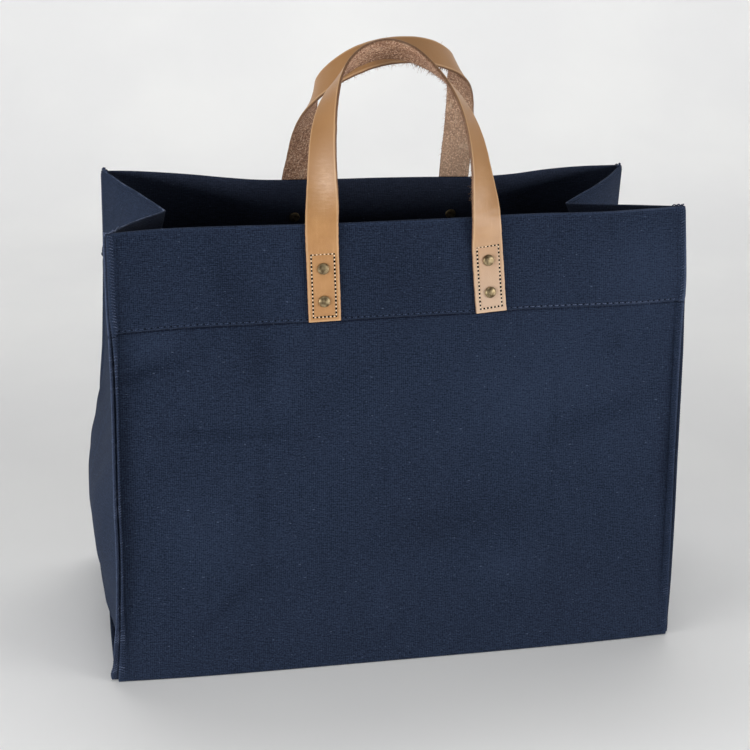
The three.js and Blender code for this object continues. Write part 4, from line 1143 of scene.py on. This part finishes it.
for side in sides:
    for hand in hands:
        for level, height in rivetHeights.items():
            across = tabAcross(side, hand, height)
            centre, axis = panelPoint(side, across, height), panelOutward(side, across, height)
            sideways = unitVector(np.cross(axis, [0, 0, 1.0]))
            spokes = np.cos(angle) * sideways + np.sin(angle) * np.cross(axis, sideways)
            points = centre + rivetProfile[:, None, :1] * spokes + rivetProfile[:, None, 1:] * axis
            points = np.concatenate([points.reshape(-1, 3), centre + rivetTips * axis])
            part = {"points": points, "quads": rivetQuads, "flat": points[:, [0, 2]], "marks": {}}
            name = "_".join(["rivet", side, hand, level])
            makePiece(name + "_brass", part, agedBrass, [name])
print("rivets made")

# Pale floor that sweeps up behind the bag: flat, a quarter circle, then a wall; in metres.
stage = {"near": -14.0, "far": 1.2, "radius": 0.9, "wall": 3.2, "half": 14.0}
turn = np.linspace(0, math.pi / 2, 24)
floorY = np.linspace(stage["near"], stage["far"], 12)
wallZ = np.linspace(stage["radius"] + 0.1, stage["wall"], 6)
bendY = stage["far"] + stage["radius"] * np.sin(turn)
sweepY = np.concatenate([floorY, bendY, wallZ * 0 + bendY[-1]])
sweepZ = np.concatenate([floorY * 0, stage["radius"] * (1 - np.cos(turn)), wallZ])
sweep = bundle(np.linspace(-stage["half"], stage["half"], 9), sweepY[:, None], sweepZ[:, None])
floorMesh = bpy.data.meshes.new("floor")
floorMesh.from_pydata(sweep.reshape(-1, 3).tolist(), [], gridQuads(*sweep.shape[:2]).tolist())
floorMesh.uv_layers.new(name="clothMap")
floorMesh.shade_smooth()
floorLook = {"Roughness": 0.8, "Specular IOR Level": 0.2}
floorMaterial, floorSurface, floorPlace = newMaterial("pale floor", floorLook)
clouds = floorPlace.node("ShaderNodeTexCoord", None, None, 3).noise(3.0, 3).between(0.3, 0.7)
feed(floorSurface, color=clouds.blend(tint(234, 234, 234), tint(239, 239, 238)))
floorMesh.materials.append(floorMaterial)
floor = bpy.data.objects.new("floor", floorMesh)
bpy.context.scene.collection.objects.link(floor)


def putUp(name, data, spot, right, back):  # object at a spot, x axis right, z axis back
    holder = bpy.data.objects.new(name, data)
    turned = np.eye(4)
    turned[:3] = np.stack([right, np.cross(back, right), back, spot], axis=1)
    holder.matrix_world = Matrix(turned.tolist())
    bpy.context.scene.collection.objects.link(holder)
    return holder


lights = {  # name: place, point looked at, width and height, spread in degrees, watts
    "left softbox": ((-1.85, -0.85, 0.36), (0, 0, 0.2), (1.5, 0.6), 180, 34),
    "right softbox": ((2.1, -1.55, 0.46), (0, 0, 0.22), (1.5, 0.6), 180, 44),
    "overhead": ((0, 1.1, 2.3), (0, 0.1, 0), (2.4, 1.2), 180, 12),
    "backdrop": ((0.9, 0.9, 2.4), (0.9, 2.1, 1.2), (4.6, 0.8), 180, 32),
    "front floor": ((-0.7, -0.9, 1.9), (-0.7, -0.9, 0), (2.6, 0.6), 60, 8.6),
}
for name, (spot, aim, size, spread, watts) in lights.items():
    lamp = bpy.data.lights.new(name, "AREA")
    lamp.shape, lamp.size, lamp.size_y, lamp.energy = "RECTANGLE", *size, watts
    lamp.spread = math.radians(spread)
    back = unitVector(np.array(spot) - np.array(aim))
    putUp(name, lamp, spot, unitVector(np.cross([0, 1e-4, 1.0], back)), back)
world = bpy.data.worlds.new("studio")
world.use_nodes = True
world.node_tree.nodes["Background"].inputs["Color"].default_value = (0.95, 0.97, 1.0, 1)
world.node_tree.nodes["Background"].inputs["Strength"].default_value = 0.07
bpy.context.scene.world = world
bpy.context.scene.view_settings.view_transform = "Standard"

view = {
    "place": (-0.2265, -1.16496, 0.64586), "right": (0.9829, -0.1837, 0.0120),
    "up": (0.0528, 0.3439, 0.9375), "lens": 72.0, "sensor": 36.0, "nearest": 0.05,
}
cameraData = bpy.data.cameras.new("camera")
cameraData.lens, cameraData.sensor_width = view["lens"], view["sensor"]
cameraData.clip_start = view["nearest"]
right = unitVector(np.array(view["right"]))
back = unitVector(np.cross(right, view["up"]))
bpy.context.scene.camera = putUp("camera", cameraData, view["place"], right, back)
print("stage, lights and camera made")
